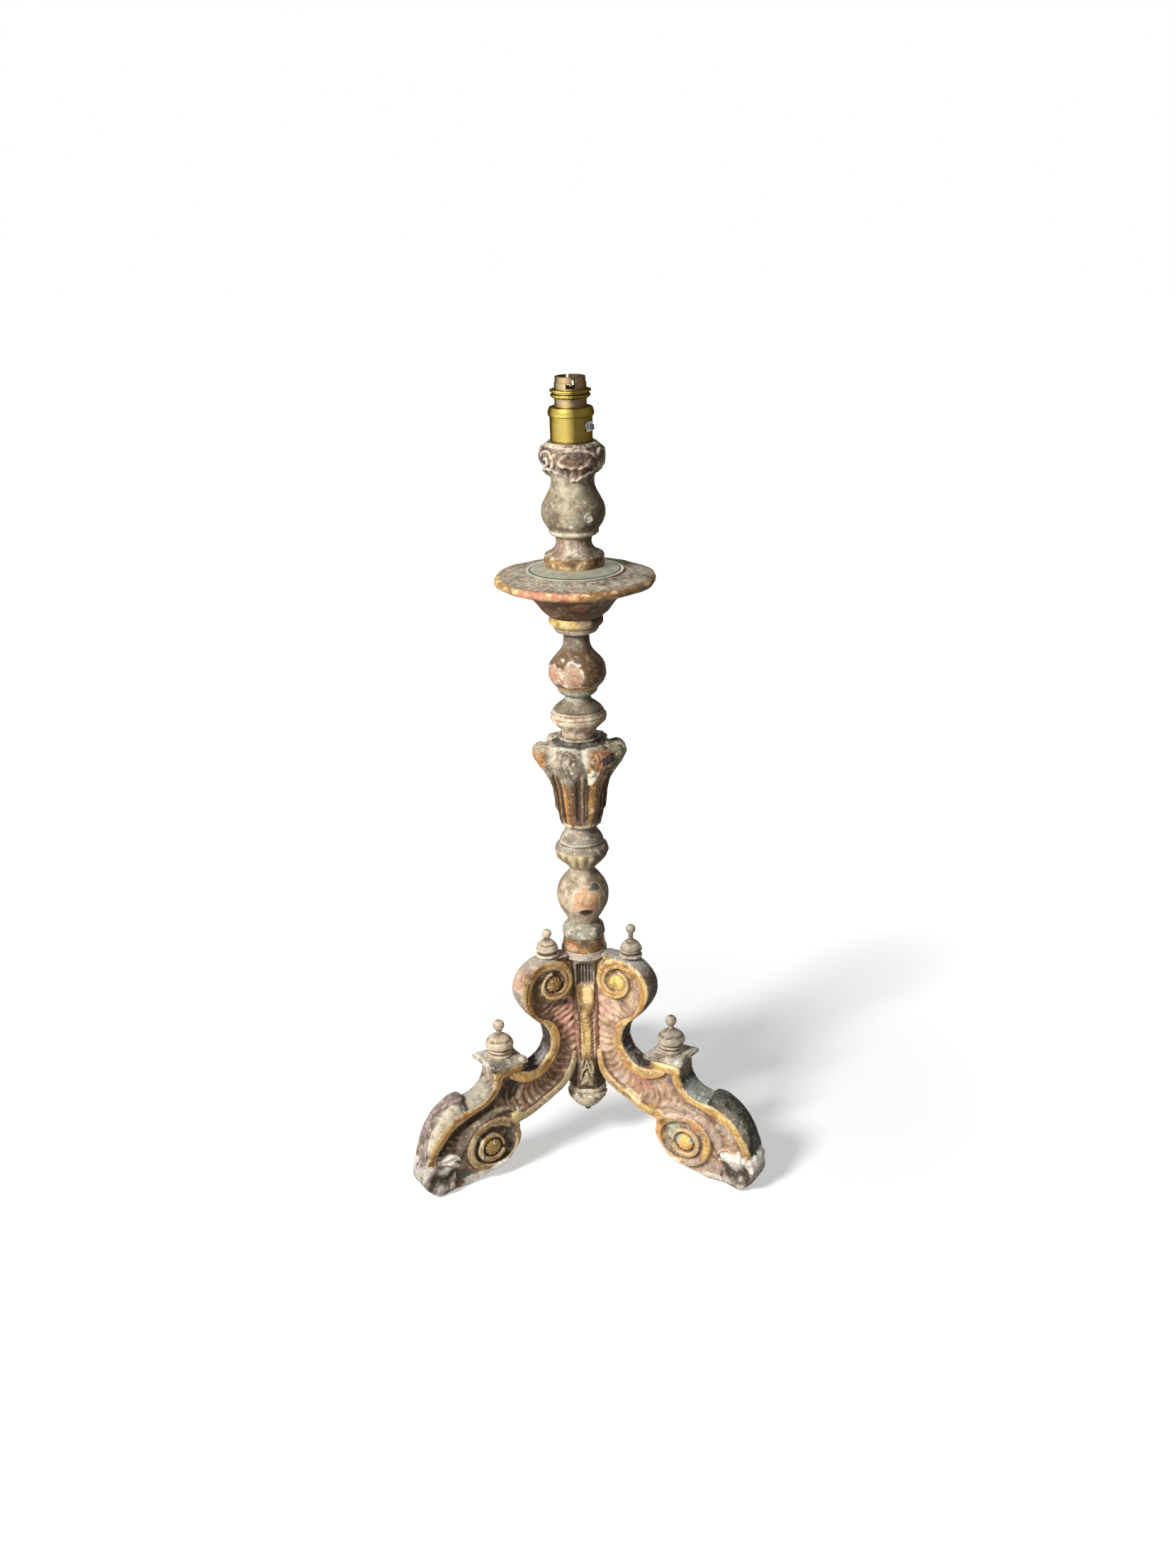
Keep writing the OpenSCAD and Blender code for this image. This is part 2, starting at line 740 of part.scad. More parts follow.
module switch_bushes() {
    color(steel) at_switch()
        for (turn = [0, 180]) rotate([0, 0, turn]) difference() {
            union() {
                translate([0, -17.6, 0]) rotate([90, 0, 0]) cylinder(r = bush_r, h = 2.8, $fn = 48);
                translate([-3.6, -21, -4.4]) cube([7.2, 0.8, 8.8]);
            }
            translate([-bar_w / 2 - play, -30, -bar_h / 2 - play])
                cube([bar_w + 2 * play, 20, bar_h + 2 * play]);
        }
}

hub_block();
leg_left();
leg_right();
leg_back();
leg_dowels();
pendant_finial();
upper_finial_left();
upper_finial_right();
upper_finial_back();
plinth_left();
plinth_right();
plinth_back();
lower_finial_left();
lower_finial_right();
lower_finial_back();
lower_column();
capital();
upper_column();
drip_pan();
drip_plate();
nozzle();
threaded_nipple();
nipple_nut();
holder_cover();
retaining_ring();
socket_barrel();
shade_ring_lower();
shade_ring_upper();
contact_block();
contact_plunger_left();
contact_plunger_right();
plunger_spring_left();
plunger_spring_right();
terminal_screws();
earth_terminal();
switch_bar();
switch_tips();
switch_bushes();
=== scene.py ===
import bpy
import math
import numpy as np
import openvdb
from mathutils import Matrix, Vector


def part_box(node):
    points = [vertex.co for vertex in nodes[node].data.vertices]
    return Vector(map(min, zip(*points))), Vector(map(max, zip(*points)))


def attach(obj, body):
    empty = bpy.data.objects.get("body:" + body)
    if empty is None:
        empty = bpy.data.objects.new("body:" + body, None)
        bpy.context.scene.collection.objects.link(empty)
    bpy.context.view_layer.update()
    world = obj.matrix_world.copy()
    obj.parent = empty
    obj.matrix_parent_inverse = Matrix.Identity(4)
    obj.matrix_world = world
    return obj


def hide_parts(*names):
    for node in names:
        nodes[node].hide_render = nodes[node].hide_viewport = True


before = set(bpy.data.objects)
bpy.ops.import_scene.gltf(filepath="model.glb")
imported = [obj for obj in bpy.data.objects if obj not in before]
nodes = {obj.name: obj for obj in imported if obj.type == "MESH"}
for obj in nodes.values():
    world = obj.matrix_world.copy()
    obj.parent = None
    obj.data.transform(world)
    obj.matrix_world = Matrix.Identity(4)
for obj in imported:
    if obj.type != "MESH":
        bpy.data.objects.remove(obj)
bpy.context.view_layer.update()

# ------------------------------------------------------------
# The view. The stand is seen from in front and a little above, between its left and right legs,
# and leans a degree and a half in the picture.
# ------------------------------------------------------------
camera = bpy.data.objects.new("camera", bpy.data.cameras.new("camera"))
bpy.context.scene.collection.objects.link(camera)
camera.data.sensor_width = 36.0
camera.data.lens = 40.69
camera.location = (0.0073, -1.647, 1.0189)
camera.rotation_mode = "XYZ"
camera.rotation_euler = (math.radians(90 - 20.4), 0, 0)
camera.rotation_euler.rotate_axis("Z", math.radians(-1.35))
camera.data.clip_start = 0.05
bpy.context.scene.camera = camera
bpy.context.scene.view_settings.view_transform = "Standard"

# ------------------------------------------------------------
# The light. A large soft lamp from the upper left, a weaker one from the right front and a pale
# surround light the stand at a plain level.
# ------------------------------------------------------------


def soft_lamp(name, place, aim, size, watts):
    lamp = bpy.data.objects.new(name, bpy.data.lights.new(name, "AREA"))
    lamp.data.shape = "DISK"
    lamp.data.size = size
    lamp.data.energy = watts
    lamp.location = place
    way = [a - p for a, p in zip(aim, place)]
    flat = math.hypot(way[0], way[1])
    lamp.rotation_euler = (math.atan2(flat, -way[2]), 0, math.atan2(-way[0], way[1]))
    bpy.context.scene.collection.objects.link(lamp)


soft_lamp("window_light", (-1.5, -1.6, 1.9), (0, 0, 0.35), 0.7, 112)
soft_lamp("fill_light", (1.9, -1.6, 1.2), (0, 0, 0.35), 1.6, 2)

world = bpy.data.worlds.new("pale_room")
bpy.context.scene.world = world
world.use_nodes = True


def fed(tree, node, feeds):
    """Gives each input of a node its value, or the socket that feeds it."""
    for key, value in feeds.items():
        if isinstance(value, bpy.types.NodeSocket):
            tree.links.new(value, node.inputs[key])
        else:
            node.inputs[key].default_value = value


def added(tree, kind, feeds=None, **settings):
    """A new shader node with its settings and what feeds it."""
    node = tree.nodes.new("ShaderNode" + kind)
    for key, value in settings.items():
        setattr(node, key, value)
    fed(tree, node, feeds or {})
    return node


def mapped(tree, value, low, high, out_low=0.0, out_high=1.0, **settings):
    """A value taken from one range to another, and held inside it."""
    feeds = {"Value": value, "From Min": low, "From Max": high, "To Min": out_low, "To Max": out_high}
    return added(tree, "MapRange", feeds, **settings).outputs["Result"]


def number_step(tree, operation, *parts):
    """One step of arithmetic on numbers."""
    return added(tree, "Math", dict(enumerate(parts)), operation=operation).outputs[0]


def shown_ray(tree):
    """1 for what the camera, a reflection or clear glass sees, and 0 for light on the stand."""
    rays = added(tree, "LightPath").outputs
    total = rays["Is Camera Ray"]
    for other in ("Is Glossy Ray", "Is Transmission Ray"):
        total = number_step(tree, "MAXIMUM", total, rays[other])
    return total


tree = world.node_tree
room_light = mapped(tree, shown_ray(tree), 0, 1, 0.19, 1)
fed(tree, tree.nodes["Background"], {"Color": (1, 1, 1, 1), "Strength": room_light})

# ------------------------------------------------------------
# The floor. A plain white sheet that takes the soft shadow of the stand and fades to white.
# ------------------------------------------------------------
floor_mesh = bpy.data.meshes.new("floor")
floor_mesh.from_pydata([(-9, -9, 0), (9, -9, 0), (9, 9, 0), (-9, 9, 0)], [], [(0, 1, 2, 3)])
floor = bpy.data.objects.new("floor", floor_mesh)
bpy.context.scene.collection.objects.link(floor)
paper = bpy.data.materials.new("white_paper")
paper.use_nodes = True
tree = paper.node_tree
place = added(tree, "NewGeometry").outputs["Position"]
reach = added(tree, "VectorMath", {0: place}, operation="LENGTH").outputs["Value"]
fade = mapped(tree, reach, 0.25, 1.1, 0.46, 1, interpolation_type="SMOOTHSTEP")
fed(tree, tree.nodes["Principled BSDF"], {
    "Base Color": (0.55, 0.55, 0.55, 1), "Roughness": 0.9, "Specular IOR Level": 0,
    "Emission Color": (1, 1, 1, 1),
    "Emission Strength": number_step(tree, "MULTIPLY", fade, shown_ray(tree))})
floor_mesh.materials.append(paper)

# ------------------------------------------------------------
# The hub. A block of softwood with three flats for the legs, carved between them into a dark
# hollow, a gilded tongue and a small leaf, and covered with gesso, red bole and worn gold leaf.
# ------------------------------------------------------------


def step_up(x, low, high):
    """0 below one value and 1 above another, with a smooth step between them."""
    t = np.clip((x - low) / (high - low), 0, 1)
    return t * t * (3 - 2 * t)


def within(x, low, full, still_full, high):
    """1 between two values, with a smooth step up before them and one down after them."""
    return step_up(x, low, full) * step_up(high - x, 0, high - still_full)


def about(offset, reach, fade):
    """1 close to nought, gone at this reach on both sides."""
    return step_up(reach - np.abs(offset), 0, fade)


def mottling(points, size, seed, octaves=2):
    """Smooth random values about nought at each point, with lumps of a size in millimetres."""
    chance = np.random.default_rng(seed)
    total = np.zeros(len(points))
    for octave in range(octaves):
        lattice = chance.uniform(-1, 1, (32, 32, 32))
        q = points / (size / 2 ** octave)
        cell = np.floor(q).astype(int)
        f = q - cell
        f = f * f * (3 - 2 * f)
        for corner in np.ndindex(2, 2, 2):
            share = np.ones(len(points))
            for k, c in enumerate(corner):
                share = share * (f[:, k] if c else 1 - f[:, k])
            spot = tuple((cell[:, k] + corner[k]) % 32 for k in range(3))
            total += share * lattice[spot] / 2 ** octave
    return total


def carved(name, low, high, step, field, rough=0.0):
    """A closed mesh of the places where field is below nought, in millimetres."""
    axes = [np.arange(a, b + step, step) for a, b in zip(low, high)]
    x, y, z = np.meshgrid(*axes, indexing="ij")
    values = field(x, y, z)
    if rough:
        near = np.abs(values) < 2.5 * step
        spots = np.stack([x[near], y[near], z[near]], 1)
        values[near] += rough * mottling(spots, 7, 3) + 0.5 * rough * mottling(spots, 2.6, 4)
    grid = openvdb.FloatGrid()
    grid.background = 3.0
    grid.copyFromArray(np.clip(values / step, -3, 3).astype(np.float32))
    points, quads = grid.convertToQuads()
    points = points * step + np.array(low)
    return meshed(name, points, quads[:, ::-1].tolist()), points


def meshed(name, points, faces):
    """A piece from points in millimetres."""
    mesh = bpy.data.meshes.new(name)
    mesh.from_pydata((points / 1000).tolist(), [], faces)
    mesh.update()
    mesh.polygons.foreach_set("use_smooth", np.ones(len(mesh.polygons), bool))
    piece = bpy.data.objects.new(name, mesh)
    bpy.context.scene.collection.objects.link(piece)
    return piece


def laid(base, colour, amount, metal=0.0):
    """Lays a colour over others where amount is 1, with its share of bright metal."""
    a = np.clip(amount, 0, 1)[..., None]
    return base * (1 - a) + np.array([*colour, metal]) * a


def layered(ground, rows):
    """Lays colours over a ground; each row is a colour, its amount and its share of metal."""
    ground = np.array(ground)
    for row in rows:
        ground = laid(ground, *row)
    return ground


def fitted(piece, colours, finish, node):
    """Gives a piece its carved colours and finish, and sets it in the place of its plain solid."""
    layer = piece.data.color_attributes.new("paint", "FLOAT_COLOR", "POINT")
    layer.data.foreach_set("color", colours.astype(np.float32).ravel())
    piece.data.materials.append(finish)
    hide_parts(node)
    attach(piece, "stand")


def noise_at(tree, place, size, detail, rough=0.5):
    """Fractal noise at a place."""
    feeds = {"Vector": place, "Scale": size, "Detail": detail, "Roughness": rough}
    return added(tree, "TexNoise", feeds).outputs["Fac"]


def mixed(tree, base, colour, amount):
    """One colour over another."""
    feeds = {"A": base, "B": colour, "Factor": amount}
    return added(tree, "Mix", feeds, data_type="RGBA").outputs["Result"]


def aged_gilding(name, chips, dust):
    """Worn gold leaf and paint: the carved colour, chipped to white gesso, with dust and streaks."""
    material = bpy.data.materials.new(name)
    material.use_nodes = True
    tree = material.node_tree
    paint = added(tree, "Attribute", attribute_name="paint").outputs
    place = added(tree, "TexCoord").outputs["Object"]
    blotch = noise_at(tree, place, 90, 5, 0.6)
    fine = noise_at(tree, place, 430, 6, 0.72)
    grey = added(tree, "RGBToBW", {"Color": paint["Color"]}).outputs["Val"]
    on_light = mapped(tree, grey, 0.03, 0.22, 0.2, 1)

    def spread(size, detail, rough, low, high, most):
        """How much of a layer lies at each place, with less of it on dark paint."""
        amount = mapped(tree, noise_at(tree, place, size, detail, rough), low, high, 0, most)
        return number_step(tree, "MULTIPLY", amount, on_light)

    flakes = spread(270, 5, 0.7, 0.60, 0.63, chips)
    colour = paint["Color"]
    for layer, amount in (((0.07, 0.04, 0.024), mapped(tree, blotch, 0.50, 0.70, 0, 0.62)),
                          ((0.42, 0.34, 0.23), spread(52, 6, 0.66, 0.52, 0.70, dust)),
                          ((0.82, 0.67, 0.44), spread(150, 6, 0.7, 0.54, 0.66, 0.5)),
                          ((0.035, 0.02, 0.012), mapped(tree, fine, 0.56, 0.67, 0, 0.75)),
                          ((0.86, 0.79, 0.64), flakes)):
        colour = mixed(tree, colour, (*layer, 1), amount)
    smooth_gold = mapped(tree, paint["Alpha"], 0, 1, 0.80, 0.44)
    grain = added(tree, "Bump", {"Strength": 0.6, "Distance": 0.0012, "Height": fine}).outputs["Normal"]
    edges = {"Strength": 0.5, "Distance": 0.0006, "Height": flakes, "Normal": grain}
    fed(tree, tree.nodes["Principled BSDF"], {
        "Base Color": colour, "Specular IOR Level": 0.12,
        "Roughness": number_step(tree, "MULTIPLY", smooth_gold, mapped(tree, blotch, 0.3, 0.7, 0.8, 1.2)),
        "Metallic": mapped(tree, paint["Alpha"], 0, 1, 0, 0.45),
        "Normal": added(tree, "Bump", edges, invert=True).outputs["Normal"]})
    return material


hub_flat, gap_face, hub_low, hub_high = 17.0, 18.03, 72.3, 224
outlet_turn, outlet_z = 120, 144
leg_turns, gap_turns = (-60, 60, 180), (0, 120, 240)


def turned_to(turn, x, y):
    """How far out each place lies towards a turn about the axis, in degrees, and how far across."""
    a = np.radians(turn)
    return x * np.sin(a) - y * np.cos(a), x * np.cos(a) + y * np.sin(a)


def hub_relief(across, z):
    """How far each face between two legs stands out, with its hollow, tongue, strip and leaf."""
    in_hollow = within(z, 190, 196, 214, 219) * about(across, 9.5, 2)
    ribs = 0.9 * np.cos(2 * math.pi * across / 3.3) * in_hollow
    spots = np.stack([across.ravel(), z.ravel(), 0 * z.ravel()], 1)
    loose = mottling(spots, 7, 151).reshape(z.shape)
    half = strip_half(z) + 0.5 * loose
    tongue = np.clip(1 - (across / 9) ** 4 - (np.clip(z - 178, 0, None) / 14) ** 2, 0, None) ** 0.5
    tongue = tongue * step_up(z, 164, 176)
    strip = step_up(half - np.abs(across), 0, 1.8) * within(z, 104, 112, 174, 186)
    grooves = 0.5 * np.cos(2 * math.pi * (z + 0.3 * across + 3 * loose) / 4.5) * step_up(z, 136, 142)
    grooves = grooves * step_up(160 - z, 0, 4)
    folds = 0.6 * np.cos(2 * math.pi * (z - 0.35 * np.abs(across) + 3 * loose) / 5.7) * (1 - strip)
    folds = folds * within(z, 112, 116, 170, 180)
    in_leaf = within(z, 74, 80, 103, 112) * about(across, 8.8, 3)
    lobes = np.cos(1.0 * np.abs(across) + (z - 76) * 0.5 + 2.2 * loose) * 1.1 + 1.2 * loose
    return (-5.5 * in_hollow + ribs + 3.4 * tongue + (1.9 + grooves + 0.6 * loose) * strip + folds
            + (2.6 + lobes) * in_leaf)


def strip_half(z):
    """Half width of the gilded strip down each face, widest under its tongue."""
    return 5.4 + 3.2 * step_up(z, 152, 176)


def hub_field(x, y, z):
    sides = []
    for turn in leg_turns:
        sides.append(turned_to(turn, x, y)[0] - hub_flat)
    for turn in gap_turns:
        out, across = turned_to(turn, x, y)
        sides.append((out - gap_face - hub_relief(across, z)) * 0.8)
    block = np.maximum.reduce(sides + [hub_low - z, z - hub_high])
    r = np.hypot(x, y)
    head_r = 23.2 + 1.6 * step_up(227 - z, 0, 5)
    head = np.maximum.reduce([r - head_r, 217 + 0.25 * r - z, z - 230.9])
    body = np.minimum(block, head)
    out, across = turned_to(outlet_turn, x, y)
    bore = np.maximum(np.hypot(across, z - outlet_z) - 4.2, -out)
    return np.maximum(body, -bore)


hub, at = carved("carved_hub", (-27, -27, 70), (27, 27, 233), 0.8, hub_field, 0.22)
x, y, z = at.T
turn = np.degrees(np.arctan2(x, -y))
nearest_gap = np.round(turn / 120) * 120
across = turned_to(nearest_gap, x, y)[1]
relief = hub_relief(across, z)
lumps = mottling(at, 9, 11)
left_side = step_up(-across, 0, 2)
on_strip = step_up(strip_half(z) + 0.4 - np.abs(across), 0, 0.9) * step_up(192 - z, -3, 3)
streaks = mottling(np.stack([x * 1.5, y * 1.5, z * 0.15], 1), 4, 12)
colour = layered((0.60, 0.36, 0.27, 0.0), [
    ((0.30, 0.15, 0.10), left_side),
    ((0.14, 0.075, 0.035), left_side * step_up(z, 158, 166)),
    ((0.66, 0.50, 0.38), step_up(lumps, 0.1, 0.6) * step_up(across, 2, 5) * 0.6),
    ((0.05, 0.03, 0.018), about(np.abs(across) - strip_half(z) - 1.0, 1.5, 1) * 0.8),
    ((0.10, 0.08, 0.06), within(z, 188, 196, 217, 221)),
    ((0.34, 0.27, 0.22), 0.7 * step_up(relief, -5.6, -4.6) * step_up(z, 190, 196) * (z < 218)),
    ((0.52, 0.32, 0.12), on_strip, 0.8),
    ((0.20, 0.105, 0.04), step_up(lumps - 0.05 * across, 0.0, 0.5) * on_strip * 0.75, 0.4),
    ((0.70, 0.50, 0.20), step_up(-lumps, 0.1, 0.5) * on_strip * 0.8, 0.8),
    ((0.28, 0.14, 0.045), on_strip * step_up(streaks, 0.0, 0.5) * step_up(174 - z, 0, 10) * 0.75, 0.5),
    ((0.84, 0.62, 0.30), on_strip * step_up(z, 168, 178) * step_up(across, -4, 1) * 0.85, 0.7),
    ((0.13, 0.07, 0.03), on_strip * step_up(-across, 2.5, 5) * step_up(z, 150, 165) * 0.8, 0.3),
    ((0.28, 0.27, 0.17), 0.6 * on_strip * within(z, 136, 142, 155, 160) * step_up(lumps, -0.1, 0.5)),
    ((0.40, 0.32, 0.20), step_up(112 - z, 0, 5)),
    ((0.09, 0.06, 0.035), step_up(112 - z, 0, 5) * step_up(2.6 - relief, 0, 1.8)),
    ((0.50, 0.42, 0.33), step_up(z, 217, 221)),
    ((0.42, 0.34, 0.33), step_up(z, 217, 221) * step_up(lumps, 0, 0.6) * 0.7)])
fitted(hub, colour, aged_gilding("worn_gilded_hub", chips=0.7, dust=0.35), "hub_block")

# ------------------------------------------------------------
# The legs. Each is sawn from a thick board of softwood, joined to the hub with dowels, carved
# into two scrolls with ribbed channels between raised bands, then covered with gesso, red bole
# and gold leaf, which are worn and dusty.
# ------------------------------------------------------------


def flowing(points, steps=4):
    p = np.array(points, float)
    out = []
    for i in range(len(p) - 1):
        a, b, c, d = p[max(i - 1, 0)], p[i], p[i + 1], p[min(i + 2, len(p) - 1)]
        for k in range(steps):
            t = k / steps
            out.append(0.5 * (2 * b + (c - a) * t + (2 * a - 5 * b + 4 * c - d) * t * t
                              + (3 * b - a - 3 * c + d) * t ** 3))
    out.append(p[-1])
    return np.array(out)


def nearest_on_line(line, r, z):
    """Distance to a line, the place along it, the side and the value of its other columns there."""
    shape = r.shape
    q = np.stack([r.ravel(), z.ravel()], 1)
    best = np.full(len(q), 1e9)
    along = np.zeros(len(q))
    side = np.ones(len(q))
    extra = np.zeros((len(q), line.shape[1] - 2))
    start = 0.0
    for a, b in zip(line[:-1], line[1:]):
        step = b[:2] - a[:2]
        length = max(np.hypot(*step), 1e-9)
        t = np.clip(((q - a[:2]) @ step) / length ** 2, 0, 1)
        off = q - a[:2] - t[:, None] * step
        d = np.hypot(off[:, 0], off[:, 1])
        near = d < best
        best[near] = d[near]
        along[near] = start + t[near] * length
        side[near] = np.sign(step[0] * off[near, 1] - step[1] * off[near, 0])
        if extra.shape[1]:
            extra[near] = a[2:] + t[near, None] * (b[2:] - a[2:])
        start += length
    return best.reshape(shape), along.reshape(shape), side.reshape(shape), extra.reshape(shape + (-1,))


def inside_outline(outline, r, z):
    """Signed distance to a closed outline, negative inside."""
    closed = np.vstack([outline, outline[:1]])
    d = nearest_on_line(closed, r, z)[0]
    odd = np.zeros(r.shape, bool)
    for a, b in zip(closed[:-1], closed[1:]):
        if a[1] != b[1]:
            crosses = (a[1] > z) != (b[1] > z)
            odd ^= crosses & (r < a[0] + (z - a[1]) * (b[0] - a[0]) / (b[1] - a[1]))
    return np.where(odd, -d, d)


underside = flowing([[15.4, 106], [21, 93], [32, 81], [50, 70.5], [68, 63.5], [89, 58]])
lower_curl = flowing([[89, 58], [87, 47], [90, 36], [98, 24], [109, 14], [124, 6.5], [136, 2.5],
                      [146, 0]], 3)
toe = flowing([[178, 0], [189, 4], [197, 12], [200, 22], [198, 36], [194, 48], [187, 62],
               [173, 79], [154, 88.5], [134, 92], [122, 100], [117, 112]])
cove = flowing([[82, 119], [76, 114.5], [65, 115], [54, 122.5], [48, 135], [50, 148], [56, 159]])
upper_roll = flowing([[56, 159], [63, 164], [70, 173], [75, 183], [78.5, 194], [77, 208],
                      [69, 219], [58, 225.5], [48, 227], [38, 227]])
leg_outline = np.vstack([underside, lower_curl, toe, [[117, 128], [83, 128]], cove, upper_roll,
                         [[23.5, 228], [23.5, 222], [15.4, 222]]])


def leg_crown(drop):
    """Outline of the leg along its middle, where the two scrolls stand up in a rounded crown."""
    low = flowing([[114, 115], [124, 107], [134, 100.5], [143, 98], [148.3, 98.8], [149.6, 104.2],
                   [160, 104.2], [172, 97.5], [182, 88], [190, 75], [194.5, 60], [196, 46],
                   [198, 30], [200, 20]])
    low[:, 1] -= drop * step_up(low[:, 1], 20, 60)
    high = flowing([[60, 164.5], [71, 174.5], [78, 185], [82, 196], [81, 209], [73, 221],
                    [62, 228.5], [49, 231], [30, 230.5], [23.5, 230]])
    return np.vstack([underside, lower_curl, toe[:14], low[::-1], [[117, 128], [83, 128]], cove,
                      high, [[23.5, 222], [15.4, 222]]])


gilt_bands = {
    "volute": flowing([[58, 161.5, 3.4], [64, 165, 4.2], [70.5, 174, 5], [74.5, 184, 5.3],
                       [75, 196, 5.3], [72, 208, 5.3], [64, 217, 5.3], [53, 222, 5.3],
                       [41, 222, 5.2], [30, 216.5, 5], [24.5, 207, 4.4], [24.5, 196, 4],
                       [30.5, 188.5, 4.0], [39, 186.2, 3.8], [48, 188.5, 2.8], [53.5, 195, 1.9],
                       [54.5, 202.5, 1.4], [51, 209, 1.2], [44.5, 212, 1.0]], 3),
    "cove": flowing([[58, 161, 2.6], [50.5, 158, 3.4], [43.5, 148, 4.8], [42, 134, 5.4],
                     [47.5, 120, 5.8], [58.5, 109.5, 6], [72, 106, 6], [84, 109, 5.6],
                     [94, 114, 4.5]], 3),
    "ledge": flowing([[85, 122, 5.6], [100, 121, 6.6], [110, 118, 6.4], [112.5, 110, 5.6],
                      [117, 102, 5.4], [125, 94.5, 5.2], [137, 88.6, 5], [150, 84.8, 5.2],
                      [163, 78.6, 5.4], [174.5, 70, 5.4], [184.5, 58, 5.2], [190.5, 46, 4.6],
                      [193, 37, 3.6]], 3),
    "underside": flowing([[19.5, 116, 2.6], [21.5, 104, 3.4], [27, 92.5, 4], [38, 81.5, 4.2],
                          [53, 73.5, 4.2], [68, 67.5, 4.2], [82, 63, 4.4], [89, 62.5, 5.6],
                          [92, 63.5, 6.4]], 3),
    "foot": np.array([[118 + radius * math.cos(math.radians(a)),
                       40.5 + 0.9 * radius * math.sin(math.radians(a)), half]
                      for a in range(150, -271, -10)
                      for radius, half in [(29.6 - 2.2 * (150 - a) / 360,
                                            3.6 - 0.8 * float(step_up(150 - a, 200, 420)))]]),
    "foot_eye": np.array([[121 + radius * math.cos(math.radians(a)),
                           38.5 + radius * math.sin(math.radians(a)), half]
                          for a in range(-150, 181, 10)
                          for radius, half in [(14.5 - 1.5 * abs(a) / 180,
                                                2.4 - 1.7 * float(step_up(a, 60, 180)))]]),
}
channel = flowing([[46, 181], [34, 170], [28, 152], [26.5, 136], [30, 119], [38, 104.5],
                   [49, 93], [64, 86], [80, 84], [97, 86], [112, 83], [130, 76.5], [150, 69.5],
                   [166, 60], [176, 48], [180, 37]])
toe_leaf = flowing([[158, 38], [166, 43], [180, 40.5], [190, 43], [198, 38], [202, 22], [198, 9],
                    [186, 1], [171, 3], [161, 11], [165, 21], [158, 31]], 3)
deep_channel = flowing([[104, 100, 2], [114, 89, 4], [128, 81, 4.6], [145, 75, 5], [161, 67, 5],
                        [174, 56, 4.6], [182, 44, 3]], 3)
tongue = flowing([[96, 75, 2], [108, 76.5, 3], [122, 75.5, 3.6], [137, 69.5, 4.4], [149, 60, 5],
                  [156, 49, 4.6], [158, 40, 3]], 3)
volute_eye, foot_eye = (42, 200), (121, 38.5)
band_turn = {"volute": 1, "cove": -1, "ledge": -1}
toe_curl, toe_curl_r = (193.5, 36), 8.3


